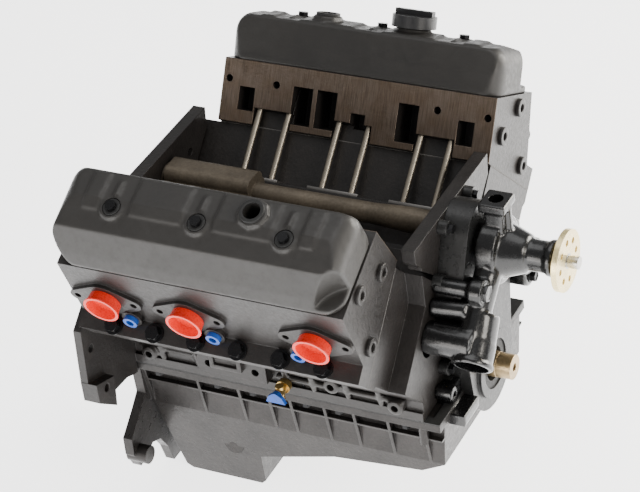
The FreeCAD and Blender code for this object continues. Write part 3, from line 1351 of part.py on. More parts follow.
def make_filler_cap():
    body = new_body("oil_filler_cap")
    base = dims.cover_height + 6
    disc(body, "XY", base - 9, 0, 0, dims.filler_neck / 2 - dims.journal_clearance, 9)
    disc(body, "XY", base + dims.seal_gap, 0, 0, dims.filler_cap / 2, dims.filler_cap_height)
    disc(body, "XY", base - 0.1, 0, 0, dims.filler_neck / 2 - 1, 1)
    drawing = sketch(body, "XY", base + dims.seal_gap)
    rectangle(drawing, -dims.filler_cap / 2 + 3, dims.filler_cap / 2 - 3, -5, 5)
    pad(body, drawing, dims.filler_cap_height + 7)
    place = rail_place(1) * Placement(Vector(float(dims.filler_shift), -12, 0), Rotation())
    body.Placement = place
    bind(body, "Placement.Base.x", middle[1] + dims.filler_shift)


def make_drain_cock():
    """A brass tap low on the right side: body with a side spout, and its wing handle."""
    out = dims.skirt_half_width
    body = new_body("drain_cock_body")
    disc(body, "XZ", 0, 0, 0, 6, 26)
    disc(body, "XZ", 4, 0, 0, 9, 8)
    disc(body, "XY", -12, 0, -19, 5.5, 20)
    body.Placement = Placement(Vector(float(dims.cock_along), -float(out), float(dims.cock_up)), Rotation())
    bind(body, "Placement.Base.x", dims.cock_along)
    bind(body, "Placement.Base.y", -out)
    bind(body, "Placement.Base.z", dims.cock_up)
    handle = new_body("drain_cock_handle")
    disc(handle, "XZ", 26 + dims.seal_gap, 0, 0, 6, 7)
    drawing = sketch(handle, "XZ", 28 + dims.seal_gap)
    polygon(drawing, [(-13, -8), (13, -8), (9, 1), (3, 5), (-3, 5), (-9, 1)])
    pad(handle, drawing, 5)
    handle.Placement = Placement(Vector(float(dims.cock_along), -float(out), float(dims.cock_up)), Rotation())
    bind(handle, "Placement.Base.x", dims.cock_along)
    bind(handle, "Placement.Base.y", -out)
    bind(handle, "Placement.Base.z", dims.cock_up)


def make_rear_seal():
    body = new_body("rear_seal_housing")
    drawing = sketch(body, "YZ", rear)
    circle(drawing, 0, 4, dims.crank_flange_radius + 22)
    circle(drawing, 0, 0, dims.crank_flange_radius + dims.seal_gap + 0.6)
    pad(body, drawing, 6, back=True)


def make_oil_pump():
    """Gear pump under the rear main cap, its pickup tube and the screened intake in the sump."""
    body = new_body("oil_pump")
    x = main_stations()[0]
    low = -dims.main_cap_height
    drawing = sketch(body, "XY", low - dims.press_gap)
    rectangle(drawing, x - 10, x + 11, -24, 24)
    pad(body, drawing, 36, back=True)
    pickup = new_body("oil_pickup")
    disc(pickup, "XY", low - 36 - dims.press_gap * 2, x + 1, 0, 6, 62, back=True)
    disc(pickup, "YZ", x + 1, 0, low - 92, 6, 48)
    disc(pickup, "XY", low - 92, x + 49, 0, 6, 26, back=True)
    disc(pickup, "XY", low - 116, x + 49, 0, 30, 12, back=True)


# ---------------------------------------------------------------- build all of it

make_block()
make_caps()
make_bearings()
make_crankshaft()
make_pistons()
make_camshaft()
make_timing_drive()
make_balance_shaft()
make_timing_cover()
for name, side in SIDES.items():
    make_head(name, side)
    make_cover(name, side)
make_valve_gear()
make_water_pump()
make_oil_pan()
make_gaskets()
make_screws()
make_caps_and_plugs()
make_filler_cap()
make_drain_cock()
make_rear_seal()
make_oil_pump()
document.recompute()

for thing in document.Objects:
    if "Invalid" in thing.State or "Error" in thing.State:
        raise RuntimeError(f"{thing.Label} failed: {thing.State}")
    base = getattr(thing, "BaseFeature", None)
    if base and thing.TypeId in ("PartDesign::Pocket", "PartDesign::SubtractiveLoft"):
        if thing.Shape.Volume > base.Shape.Volume - 1:
            raise RuntimeError(f"{thing.Label} cuts nothing")
os.makedirs("parts", exist_ok=True)
for thing in kept:
    if thing.Shape.isNull() or not thing.Shape.isValid():
        raise RuntimeError(f"{thing.Label} has no valid shape")
    thing.Shape.exportStep(f"parts/{thing.Label}.step")
    print(thing.Label, len(thing.Shape.Solids), round(thing.Shape.Volume / 1000, 1))
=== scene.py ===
# %% [markdown]
# # A V6 long block, dressed around its CAD solids
# The engine's solids come ready made: this lesson gives each one a finish with the right grain and
# gloss, models the softest castings afresh, and adds small pieces that the solids leave out, such
# as grommets, ribs and bosses.
# All sizes are in metres. +X points to the front of the engine, +Y to its left bank, +Z up.

# %% Load the solids
import math
import bmesh
import bpy
from mathutils import Matrix, Vector


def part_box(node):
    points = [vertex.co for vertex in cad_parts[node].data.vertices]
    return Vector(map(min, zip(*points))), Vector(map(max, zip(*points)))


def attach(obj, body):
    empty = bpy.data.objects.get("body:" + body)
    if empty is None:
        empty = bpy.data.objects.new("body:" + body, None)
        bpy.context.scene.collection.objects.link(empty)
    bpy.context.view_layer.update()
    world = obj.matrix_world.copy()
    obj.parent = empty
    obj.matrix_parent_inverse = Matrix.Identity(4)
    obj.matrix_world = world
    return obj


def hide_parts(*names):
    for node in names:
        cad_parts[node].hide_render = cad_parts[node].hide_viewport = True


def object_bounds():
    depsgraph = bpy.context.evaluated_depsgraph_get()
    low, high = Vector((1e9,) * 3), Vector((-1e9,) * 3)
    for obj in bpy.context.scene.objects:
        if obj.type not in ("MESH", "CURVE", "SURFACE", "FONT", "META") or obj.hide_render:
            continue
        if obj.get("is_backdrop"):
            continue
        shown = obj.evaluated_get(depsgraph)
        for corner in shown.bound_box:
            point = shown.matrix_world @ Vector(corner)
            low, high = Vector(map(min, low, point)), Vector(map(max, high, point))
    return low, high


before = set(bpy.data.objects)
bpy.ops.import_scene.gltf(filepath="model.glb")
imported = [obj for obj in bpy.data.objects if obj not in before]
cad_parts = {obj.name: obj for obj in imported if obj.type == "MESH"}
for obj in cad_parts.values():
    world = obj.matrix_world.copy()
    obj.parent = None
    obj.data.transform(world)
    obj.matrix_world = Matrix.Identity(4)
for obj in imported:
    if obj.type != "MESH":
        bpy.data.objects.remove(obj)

cad_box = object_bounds()
print("solids:", len(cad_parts), "box:", [tuple(round(c, 3) for c in p) for p in cad_box])

# %% [markdown]
# The camera looks down on the right front corner, as a person would who stands beside the engine
# on a bench. Its three axes are worked out from how far round, how high and how tilted it is held.

# %% Camera
AROUND, HIGH, TILT = math.radians(30.43), math.radians(34.4), math.radians(-7.82)
level = math.cos(HIGH)
back = Vector((math.sin(AROUND) * level, -math.cos(AROUND) * level, math.sin(HIGH)))
right = Vector((math.cos(AROUND), math.sin(AROUND), 0))
up = back.cross(right)
across = right * math.cos(TILT) + up * math.sin(TILT)
upward = up * math.cos(TILT) - right * math.sin(TILT)
camera = bpy.data.objects.new("camera", bpy.data.cameras.new("camera"))
bpy.context.collection.objects.link(camera)
camera.matrix_world = Matrix((across, upward, back)).transposed().to_4x4()
camera.location = (1.5445, -2.2366, 1.9064)
camera.data.lens = 143.6
camera.data.sensor_width = 36
camera.data.clip_end = 50
bpy.context.scene.camera = camera
print("camera at", tuple(round(c, 2) for c in camera.location))

# %% [markdown]
# The engine stands on a pale floor that glows, as a light table does, in an even surround. Four
# soft lamps do the modelling: one from above, a warm key from the front, one low along the right
# side, and a strong low one from the front left that puts the glare on the front faces.

# %% Floor and lamps
def plain_paint(name, colour, roughness, glow=0.0):
    """A one-colour finish for what isn't part of the engine."""
    made = bpy.data.materials.new(name)
    made.use_nodes = True
    shader = made.node_tree.nodes["Principled BSDF"]
    shader.inputs["Base Color"].default_value = (*colour, 1)
    shader.inputs["Roughness"].default_value = roughness
    shader.inputs["Emission Color"].default_value = (*colour, 1)
    shader.inputs["Emission Strength"].default_value = glow
    return made


def lamp(name, spot, target, size, power, colour=(1, 1, 1)):
    """A square soft lamp that faces its target."""
    made = bpy.data.objects.new(name, bpy.data.lights.new(name, "AREA"))
    bpy.context.collection.objects.link(made)
    made.data.size, made.data.energy, made.data.color = size, power, colour
    made.location = spot
    made.rotation_euler = (Vector(target) - Vector(spot)).to_track_quat("-Z", "Y").to_euler()


bpy.ops.mesh.primitive_plane_add(size=30, location=(0.2, 0, cad_box[0].z - 0.0005))
floor = bpy.context.object
floor.name = "floor"
floor.data.materials.append(plain_paint("pale_floor", (0.93, 0.93, 0.93), 0.9, 3.0))
floor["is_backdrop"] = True
world = bpy.data.worlds.new("studio")
world.use_nodes = True
world.node_tree.nodes["Background"].inputs["Color"].default_value = (1, 1, 1, 1)
world.node_tree.nodes["Background"].inputs["Strength"].default_value = 0.4
bpy.context.scene.world = world
MIDDLE = (0.25, 0, 0.1)
lamp("top", (0.4, 0.4, 3.6), MIDDLE, 3.0, 60)
lamp("key", (2.9, -0.9, 1.5), MIDDLE, 1.1, 58, (1, 0.95, 0.87))
lamp("side", (-0.2, -2.8, 0.35), MIDDLE, 1.4, 42, (1, 0.96, 0.92))
lamp("front_glare", (2.1, 2.1, 0.75), (0.45, 0, 0.15), 1.5, 130, (1, 0.96, 0.88))

# %% [markdown]
# Every finish here starts from the same recipe. Two noise patterns, one broad and one fine, vary
# the colour and a third blends them, so that no face is one flat tone. A fourth varies the gloss,
# and two more lift the surface as a sand casting's skin does. Edges are shaded as if slightly
# rounded. What changes from one metal to the next is the colour, how far it drifts, how deep and
# how large the grain is, and how round the edges are.

# %% The recipe for a finish
class Finish:
    """A material built up node by node around one shader."""

    def __init__(self, name):
        self.material = bpy.data.materials.new(name)
        self.material.use_nodes = True
        self.tree = self.material.node_tree
        self.shader = self.tree.nodes["Principled BSDF"]
        self.where = self.node("ShaderNodeTexCoord").outputs["Object"]

    def node(self, kind, **settings):
        """A new node with its settings."""
        made = self.tree.nodes.new(kind)
        for key, value in settings.items():
            setattr(made, key, value)
        return made

    def link(self, source, target):
        """Wire one socket to another."""
        self.tree.links.new(source, target)

    def noise(self, scale, detail=4, stretch=(1, 1, 1)):
        """A cloudy pattern from 0 to 1, scale in lumps per metre."""
        moved = self.node("ShaderNodeMapping")
        moved.inputs["Scale"].default_value = stretch
        self.link(self.where, moved.inputs["Vector"])
        made = self.node("ShaderNodeTexNoise")
        made.inputs["Scale"].default_value = scale
        made.inputs["Detail"].default_value = detail
        self.link(moved.outputs["Vector"], made.inputs["Vector"])
        return made.outputs["Fac"]

    def ramp(self, source, stops):
        """Turn a number into a colour: each stop is where it lies from 0 to 1, and its colour."""
        made = self.node("ShaderNodeValToRGB")
        band = made.color_ramp
        while len(band.elements) < len(stops):
            band.elements.new(0.5)
        for element, (stop, colour) in zip(band.elements, stops):
            element.position = stop
            element.color = (*colour, 1)
        self.link(source, made.inputs["Fac"])
        return made.outputs["Color"]

    def scaled(self, source, low, high):
        """A 0 to 1 pattern stretched to run from low to high."""
        made = self.node("ShaderNodeMapRange")
        made.inputs["From Min"].default_value, made.inputs["From Max"].default_value = 0.3, 0.7
        made.inputs["To Min"].default_value, made.inputs["To Max"].default_value = low, high
        self.link(source, made.inputs["Value"])
        return made.outputs["Result"]

    def mixed(self, amount, one, other):
        """One colour where amount is 0, the other where it is 1."""
        made = self.node("ShaderNodeMix", data_type="RGBA")
        self.link(amount, made.inputs["Factor"])
        self.link(one, made.inputs[6])
        self.link(other, made.inputs[7])
        return made.outputs[2]

    def bump(self, source, depth, under):
        """A surface lifted by a pattern, over the normal it starts from."""
        made = self.node("ShaderNodeBump")
        made.inputs["Strength"].default_value = 1
        made.inputs["Distance"].default_value = depth
        self.link(source, made.inputs["Height"])
        self.link(under, made.inputs["Normal"])
        return made.outputs["Normal"]

    def beyond(self, direction, distance, soft=0.0004):
        """1 beyond a plane, 0 on the near side of it: direction is the plane's way out."""
        dot = self.node("ShaderNodeVectorMath", operation="DOT_PRODUCT")
        self.link(self.where, dot.inputs[0])
        dot.inputs[1].default_value = direction
        made = self.node("ShaderNodeMapRange")
        made.inputs["From Min"].default_value = distance - soft
        made.inputs["From Max"].default_value = distance + soft
        self.link(dot.outputs["Value"], made.inputs["Value"])
        return made.outputs["Result"]


def shades(colour, spread):
    """Three tones of a colour: darker, the colour itself and lighter."""
    return [tuple(min(1, c * f) for c in colour) for f in (1 - spread, 1, 1 + spread)]


def cast_finish(name, colour, roughness, metallic, spread, grain, depth, lumps, coat=0.0,
                edge=0.0014):
    """A metal or plastic surface: grain and lumps are per metre, depth and edge in metres."""
    made = Finish(name)
    low, middle, high = shades(colour, spread)
    tone = made.ramp(made.noise(lumps, 6), [(0.32, low), (0.5, middle), (0.7, high)])
    speck = made.ramp(made.noise(lumps * 14, 3), [(0.4, low), (0.62, high)])
    blend = made.scaled(made.noise(lumps * 5, 2), 0.15, 0.45)
    colour_out = made.mixed(blend, tone, speck)
    made.link(colour_out, made.shader.inputs["Base Color"])
    made.link(made.scaled(made.noise(lumps * 6, 4), roughness * 0.8, min(1, roughness * 1.25)),
              made.shader.inputs["Roughness"])
    made.shader.inputs["Metallic"].default_value = metallic
    if coat:
        made.shader.inputs["Coat Weight"].default_value = coat
        made.shader.inputs["Coat Roughness"].default_value = 0.12
    edges = made.node("ShaderNodeBevel", samples=4)
    edges.inputs["Radius"].default_value = edge
    made.shader.inputs["Specular IOR Level"].default_value = 0.42
    normal = made.bump(made.noise(lumps * 8, 3), depth * 2.5, edges.outputs["Normal"])
    made.link(made.bump(made.noise(grain, 2), depth, normal), made.shader.inputs["Normal"])
    made.colour_out = colour_out
    return made


def cut_face(made, way, distance, colour):
    """Bare machined metal beyond a plane, given by its way out and its distance."""
    low, middle, high = shades(colour, 0.28)
    scratches = made.noise(900, 3, (1, 0.05, 0.05))
    metal = made.ramp(scratches, [(0.3, low), (0.5, middle), (0.72, high)])
    stain = made.ramp(made.noise(38, 6), [(0.38, (1, 1, 1)), (0.72, (0.72, 0.64, 0.55))])
    tint = made.node("ShaderNodeMix", data_type="RGBA", blend_type="MULTIPLY")
    tint.inputs["Factor"].default_value = 0.7
    made.link(metal, tint.inputs[6])
    made.link(stain, tint.inputs[7])
    mask = made.beyond(way, distance)
    made.link(made.mixed(mask, made.colour_out, tint.outputs[2]), made.shader.inputs["Base Color"])
    shine = made.node("ShaderNodeMath", operation="MULTIPLY")
    made.link(mask, shine.inputs[0])
    shine.inputs[1].default_value = 0.85
    made.link(shine.outputs["Value"], made.shader.inputs["Metallic"])
    return made


print("recipes ready")

# %% [markdown]
# Both heads and the block are painted iron, charcoal with some gloss, but the faces that seal
# against gaskets are bare metal that has browned. Those faces are flat, so one plane each tells
# the finish where the bare metal starts.

# %% Painted castings with bare sealing faces
HALF = math.sqrt(0.5)
BANKS = ((1, "left"), (-1, "right"))


def bank_way(side, out, rise):
    """A direction given across and up one bank of cylinders, in the engine's frame."""
    return (0, (out + rise) * HALF * side, (rise - out) * HALF)


def plane_through(side, low, high, margin=0.0006):
    """The plane of a head's face that runs from low to high, both across and up the bank."""
    run = Vector((high[0] - low[0], high[1] - low[1])).normalized()
    out = (-run.y, run.x)
    way = bank_way(side, *out)
    point = Vector(bank_way(side, *low))
    return way, Vector(way).dot(point) - margin


IRON = (0.0150, 0.0130, 0.0122)
BARE_IRON = (0.150, 0.117, 0.092)
INTAKE_FACE = ((-0.076, 0.2304), (-0.0952, 0.3077))
REAR_FACE = -0.0104
dressed = {}
for side, name in BANKS:
    head = cast_finish(f"{name}_head_iron", IRON, 0.36, 0.25, 0.35, 1500, 0.00012, 34)
    way, distance = plane_through(side, *INTAKE_FACE)
    dressed[f"{name}_cylinder_head"] = cut_face(head, way, distance, BARE_IRON)
block = cast_finish("block_iron", IRON, 0.36, 0.25, 0.35, 1300, 0.00014, 30)
dressed["engine_block"] = cut_face(block, (-1, 0, 0), REAR_FACE, BARE_IRON)
print("castings:", ", ".join(dressed))

# %% [markdown]
# The other finishes need only the recipe. Ground steel is bright with hardly any grain; black
# oxide is dark and half dull; the pump is sprayed black over its rough casting; zinc plate is pale
# yellow. Each row of the first table is a casting: colour, roughness, metallic and how far its
# tone drifts. Each row of the second is a plain finish: colour, roughness, metallic and the nodes
# that wear it.

# %% Finishes for the other pieces
CAST = {
    "main_bearing_caps": ((0.035, 0.034, 0.033), 0.45, 0.4, 0.3),
    "crankshaft": ((0.42, 0.31, 0.17), 0.32, 0.9, 0.3),
    "camshaft": ((0.28, 0.26, 0.24), 0.35, 0.9, 0.3),
    "balance_shaft": ((0.12, 0.10, 0.075), 0.5, 0.6, 0.35),
    "oil_pump": ((0.06, 0.06, 0.06), 0.5, 0.6, 0.3),
    "timing_cover": ((0.014, 0.014, 0.014), 0.30, 0.1, 0.3),
    "oil_pan": ((0.028, 0.0255, 0.0245), 0.32, 0.5, 0.38),
    "rear_seal_housing": ((0.34, 0.34, 0.33), 0.45, 0.8, 0.25),
    "left_valve_cover": ((0.0240, 0.0225, 0.0210), 0.44, 0.0, 0.12),
    "right_valve_cover": ((0.0240, 0.0225, 0.0210), 0.44, 0.0, 0.12),
    "water_pump_housing": ((0.003, 0.003, 0.0033), 0.24, 0.0, 0.3),
}
ROUGH_GRAIN, SMOOTH_GRAIN, POLISHED_GRAIN = (1400, 0.00011), (4200, 0.00002), (3800, 0.000008)
for node, (colour, roughness, metallic, spread) in CAST.items():
    grain = SMOOTH_GRAIN if node.endswith("valve_cover") else ROUGH_GRAIN
    coat = 0.4 if node == "water_pump_housing" else 0.0
    dressed[node] = cast_finish(f"{node}_casting", colour, roughness, metallic, spread, *grain, 24,
                                coat)
PLAIN = {
    "oiled_steel": ((0.30, 0.265, 0.215), 0.38, 1.0, ("pushrods",)),
    "bright_steel": ((0.50, 0.49, 0.46), 0.25, 1.0,
                     ("pump_shaft", "piston_pins", "lifters", "intake_valves")),
    "dull_steel": ((0.22, 0.21, 0.20), 0.42, 1.0,
                   ("exhaust_valves", "rocker_arms", "valve_springs", "crank_sprocket",
                    "cam_sprocket", "timing_chain", "balance_drive_gear", "balance_driven_gear",
                    "pump_impeller", "oil_pickup")),
    "black_oxide": ((0.012, 0.012, 0.013), 0.30, 0.7,
                    ("head_bolts", "valve_cover_bolts", "main_cap_bolts", "timing_cover_bolts",
                     "oil_pan_bolts")),
    "soft_alloy": ((0.62, 0.61, 0.60), 0.3, 1.0, ("pistons", "main_bearings", "cam_bearings")),
    "yellow_zinc": ((0.86, 0.72, 0.38), 0.30, 0.75, ("pump_hub",)),
    "brass": ((0.48, 0.33, 0.12), 0.33, 1.0, ("drain_cock_body", "core_plugs")),
    "black_rubber": ((0.012, 0.012, 0.012), 0.6, 0.0, ("crank_seal", "oil_pan_gasket")),
    "gasket_board": ((0.10, 0.095, 0.09), 0.7, 0.0, ("left_head_gasket", "right_head_gasket")),
    "red_plastic": ((0.72, 0.022, 0.008), 0.28, 0.0, ("exhaust_port_caps",)),
    "blue_plastic": ((0.012, 0.075, 0.36), 0.32, 0.0, ("spark_hole_plugs", "drain_cock_handle")),
    "black_plastic": ((0.014, 0.014, 0.015), 0.36, 0.0, ("oil_filler_cap",)),
}
for name, (colour, roughness, metallic, nodes) in PLAIN.items():
    finish = cast_finish(name, colour, roughness, metallic, 0.12, *POLISHED_GRAIN, 70, edge=0.0004)
    for node in nodes:
        dressed[node] = finish
bare = [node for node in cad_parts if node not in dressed]
for node, finish in dressed.items():
    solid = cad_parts[node]
    solid.data.materials.clear()
    solid.data.materials.append(finish.material)
print("finished", len(dressed), "solids; without a finish:", bare)

# %% [markdown]
# The pieces below are modelled as by hand: a primitive is added, shaped in edit mode or with
# modifiers, and only then moved to its place on the engine. Short helpers do the selecting, the
# shaping, the placing and the finishing, so that each piece reads as a list of steps.

# %% Helpers for modelling
def apply_transform():
    """Write the active object's place, turn and scale into its mesh."""
    bpy.ops.object.transform_apply(location=True, rotation=True, scale=True)


def add(kind, **settings):
    """A new primitive, selected alone, with its object at the origin."""
    bpy.ops.object.select_all(action="DESELECT")
    getattr(bpy.ops.mesh, f"primitive_{kind}_add")(**settings)
    apply_transform()
    return bpy.context.object


def standing(radius, height, sides=32):
    """A cylinder that stands on the origin."""
    middle = (0, 0, height / 2)
    return add("cylinder", vertices=sides, radius=radius, depth=height, location=middle)


def block_of(low, high):
    """A plain box between two corners."""
    low, high = Vector(low), Vector(high)
    return add("cube", size=1, location=(low + high) / 2, scale=high - low)


def only(piece):
    """Select one piece alone."""
    bpy.ops.object.select_all(action="DESELECT")
    piece.select_set(True)
    bpy.context.view_layer.objects.active = piece


def pick_faces(test):
    """In edit mode, select the faces whose middle passes the test."""
    bpy.ops.mesh.select_mode(type="FACE")
    bpy.ops.mesh.select_all(action="DESELECT")
    mesh = bmesh.from_edit_mesh(bpy.context.object.data)
    for face in mesh.faces:
        face.select = test(face.calc_center_median())
    bmesh.update_edit_mesh(bpy.context.object.data)


def sink(test, inset, depth):
    """Inset the picked faces, then push them along Z by depth (down where it is negative)."""
    bpy.ops.object.mode_set(mode="EDIT")
    pick_faces(test)
    bpy.ops.mesh.inset(thickness=inset)
    bpy.ops.mesh.extrude_region_move(TRANSFORM_OT_translate={"value": (0, 0, depth)})
    bpy.ops.object.mode_set(mode="OBJECT")


def modify(piece, kind, **settings):
    """Add a modifier and apply it."""
    only(piece)
    made = piece.modifiers.new(kind.lower(), kind)
    for key, value in settings.items():
        setattr(made, key, value)
    bpy.ops.object.modifier_apply(modifier=made.name)
    return piece


def soften(piece, width, segments=2):
    """Round every sharp edge."""
    return modify(piece, "BEVEL", width=width, segments=segments, limit_method="ANGLE")


def place(piece, spot, way=(0, 0, 1), spin=0.0):
    """Stand the piece on a spot with its Z along a direction."""
    only(piece)
    turn = Vector(way).to_track_quat("Z", "Y").to_matrix().to_4x4()
    piece.matrix_world = Matrix.Translation(spot) @ turn @ Matrix.Rotation(spin, 4, "Z")
    apply_transform()
    return piece


def rod(start, end, radius, sides=32):
    """A cylinder from one point to another."""
    run = Vector(end) - Vector(start)
    return place(standing(radius, run.length, sides), start, run)


def join(name, parts):
    """Several parts as one piece."""
    bpy.ops.object.select_all(action="DESELECT")
    for part in parts:
        part.select_set(True)
    bpy.context.view_layer.objects.active = parts[0]
    if len(parts) > 1:
        bpy.ops.object.join()
    parts[0].name = name
    return parts[0]


def melt(name, parts, grain, rounds):
    """Fuse parts into one skin and soften it, so that they meet in a casting's fillets."""
    piece = modify(join(name, parts), "REMESH", mode="VOXEL", voxel_size=grain)
    return modify(piece, "SMOOTH", factor=0.6, iterations=rounds)


def cut(piece, tool, operation="DIFFERENCE"):
    """Take the tool's shape out of the piece, or keep only what lies inside the tool."""
    modify(piece, "BOOLEAN", operation=operation, object=tool, solver="EXACT")
    bpy.data.objects.remove(tool)
    return piece


def copies(piece, name, moves):
    """The piece at each move, all joined into one, each copy with its own mesh."""
    parts = []
    for move in moves:
        part = piece.copy()
        part.data = piece.data.copy()
        bpy.context.collection.objects.link(part)
        parts.append(place(part, *move))
    bpy.data.objects.remove(piece)
    return join(name, parts)


def wear(piece, finish):
    """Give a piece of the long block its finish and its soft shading."""
    only(piece)
    bpy.ops.object.shade_smooth_by_angle(angle=math.radians(35))
    piece.data.materials.clear()
    piece.data.materials.append(finish.material)
    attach(piece, "long_block")
    print(piece.name, len(piece.data.polygons), "faces")
    return piece


# %% [markdown]
# Each bank of cylinders leans 45 degrees, so a point on it is given from the bank's middle: along
# the engine, outboard across the bank and up the bank. The valve cover's rail leans 18 degrees
# more.

# %% Places on the banks
MIDDLE_OF = {side: sum(corner.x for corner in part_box(f"{name}_cylinder_head")) / 2
             for side, name in BANKS}
SPACING = 0.11176
CYLINDERS = (-SPACING, 0, SPACING)
RAIL_LEAN = math.radians(18)
RAIL_OUT, RAIL_UP = -0.041, 0.3253


def on_bank(side, along, out, rise):
    """A point on a bank, from the middle of its head."""
    return Vector(bank_way(side, out, rise)) + Vector((MIDDLE_OF[side] + along, 0, 0))


def on_rail(side, along, out, rise):
    """A point on or above the valve cover's rail."""
    lean, lift = math.sin(RAIL_LEAN), math.cos(RAIL_LEAN)
    return on_bank(side, along, RAIL_OUT + out * lift - rise * lean,
                   RAIL_UP + out * lean + rise * lift)


def rail_way(side):
    """The direction square to the valve cover's rail."""
    return bank_way(side, -math.sin(RAIL_LEAN), math.cos(RAIL_LEAN))


print("bank middles:", {side: round(x, 4) for side, x in MIDDLE_OF.items()})

# %% [markdown]
# The water pump's housing is a rough casting: a round volute, a long nose for the shaft, two legs
# down to the block and an inlet neck. Primitives laid over each other are remeshed into one skin
# and smoothed, which gives the soft fillets of a casting; the bores are cut after that and stay
# crisp.

# %% Water pump housing
pump_low, pump_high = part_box("water_pump_housing")
AXIS = sum(corner.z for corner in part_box("pump_shaft")) / 2
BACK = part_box("timing_cover")[1].x + 0.004
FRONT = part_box("engine_block")[1].x
COARSE, MEDIUM, FINE = 0.0018, 0.0016, 0.0015
SHAFT_BORE, OUTLET_BORE, INLET_BORE = 0.0099, 0.009, 0.0205
LEG_OUT, LEG_UP = 0.097, 0.103
LOW_BOSS_UP = 0.072
# the volute, then the nose's tip and its tube
parts = [rod((BACK, 0, AXIS), (BACK + 0.024, 0, AXIS), 0.042),
         rod((pump_high.x - 0.008, 0, AXIS), (pump_high.x, 0, AXIS), 0.0225),
         rod((BACK + 0.02, 0, AXIS), (pump_high.x, 0, AXIS), 0.0195)]
# the outlet's pad, the neck under it and the rib in front of the neck
parts += [block_of((BACK - 0.001, -0.018, 0.236), (BACK + 0.033, 0.018, 0.2478)),
          block_of((BACK + 0.004, -0.0135, 0.19), (BACK + 0.028, 0.0135, 0.24)),
          block_of((BACK + 0.006, -0.004, 0.18), (BACK + 0.034, 0.004, 0.238))]
# the cone from the volute to the nose
cone = add("cone", vertices=40, radius1=0.036, radius2=0.023, depth=0.034, location=(0, 0, 0.017))
parts.append(place(cone, (BACK + 0.02, 0, AXIS), (1, 0, 0)))
for side in (-1, 1):
    # a leg, its backing, the bead along it, the boss at its foot and the strut behind it
    parts += [rod((BACK + 0.013, 0.022 * side, 0.172), (BACK + 0.011, 0.092 * side, 0.106), 0.0165),
              rod((BACK + 0.004, 0.03 * side, 0.15), (BACK + 0.004, 0.09 * side, 0.088), 0.013),
              rod((BACK + 0.024, 0.03 * side, 0.166), (BACK + 0.021, 0.088 * side, 0.112), 0.0042),
              rod((FRONT, LEG_OUT * side, LEG_UP), (BACK + 0.018, LEG_OUT * side, LEG_UP), 0.0205),
              rod((FRONT, 0.079 * side, 0.134), (BACK + 0.002, 0.074 * side, 0.134), 0.0115)]
# the left leg has a second, lower boss
parts.append(rod((FRONT, LEG_OUT, LOW_BOSS_UP), (BACK + 0.008, LEG_OUT, LOW_BOSS_UP), 0.017))
# the inlet's neck, with a rim round its mouth
neck = [Vector((BACK + 0.014, -0.062, 0.124)), Vector((BACK + 0.016, -0.086, 0.098)),
        Vector((BACK + 0.018, -0.110, 0.080))]
mouth_way = (neck[2] - neck[1]).normalized()
parts += [rod(neck[0], neck[1], 0.0225), rod(neck[1], neck[2], 0.0235),
          rod(neck[2] - mouth_way * 0.006, neck[2], 0.0255)]
# the port's boss on the right leg and its collar, then the boss on the left leg
parts += [rod((FRONT + 0.001, -0.066, 0.158), (BACK + 0.012, -0.063, 0.156), 0.0105),
          rod((BACK + 0.004, -0.063, 0.156), (BACK + 0.021, -0.063, 0.156), 0.0165),
          rod((FRONT + 0.001, 0.061, 0.168), (BACK + 0.012, 0.06, 0.166), 0.0105)]
pump = melt("pump_casting", parts, MEDIUM, 9)
cut(pump, rod((pump_low.x - 0.01, 0, AXIS), (pump_high.x + 0.01, 0, AXIS), SHAFT_BORE, 40))
cut(pump, rod((BACK + 0.016, 0, 0.215), (BACK + 0.016, 0, 0.26), OUTLET_BORE, 40))
cut(pump, rod(neck[1] + mouth_way * 0.004, neck[2] + mouth_way * 0.01, INLET_BORE, 40))
wear(pump, dressed["water_pump_housing"])
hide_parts("water_pump_housing")

# %% [markdown]
# Below the pump's inlet the timing cover ends in a cast foot that is bolted to the block's front
# face. Two boxes and a screw boss are melted together for it, and the boss is drilled.

# %% Foot of the timing cover
FACE = FRONT + 0.0005
BOSS_OUT, BOSS_UP = -0.0880, 0.0150
foot = melt("timing_cover_foot", [
    block_of((FACE, -0.1020, -0.0210), (FRONT + 0.0400, -0.0580, -0.0060)),
    block_of((FACE, -0.0900, -0.0100), (FRONT + 0.0200, -0.0620, 0.0220)),
    rod((FACE, BOSS_OUT, BOSS_UP), (FRONT + 0.0230, BOSS_OUT, BOSS_UP), 0.0100)], FINE, 5)
cut(foot, rod((FRONT + 0.0100, BOSS_OUT, BOSS_UP), (FRONT + 0.0300, BOSS_OUT, BOSS_UP), 0.0042,
              24))
wear(foot, dressed["water_pump_housing"])

# %% [markdown]
# Hexagon screws hold the pump and plug its port. One is modelled from a six-sided cylinder: its
# top is inset and lowered for the dished head, and a collar lies under it. Copies go to each
# place.

# %% Pump screws and plug
ROOT_THREE = 1.732


def hexagon_head(across, height, collar):
    """A flanged hexagon head on Z, its underside at 0: across is its size over the flats."""
    head = standing(across / ROOT_THREE, height, 6)
    sink(lambda c: c.z > height * 0.9, across * 0.12, -height * 0.12)
    flange = standing(collar, height * 0.22, 28)
    return soften(join("hexagon_head", [head, flange]), across * 0.035)


FORWARD = (1, 0, 0)
SCREW_UP, LOW_SCREW_UP = 0.104, 0.069
spots = [((BACK + 0.0175, LEG_OUT * side, SCREW_UP), FORWARD) for side in (-1, 1)]
spots.append(((BACK + 0.0075, LEG_OUT, LOW_SCREW_UP), FORWARD))
screws = copies(hexagon_head(0.013, 0.008, 0.0095), "pump_screws", spots)
wear(screws, dressed["head_bolts"])
spots = [((BACK + 0.0205, -0.063, 0.156), FORWARD)]
plug = copies(hexagon_head(0.019, 0.006, 0.0135), "pump_port_plug", spots)
wear(plug, dressed["water_pump_housing"])

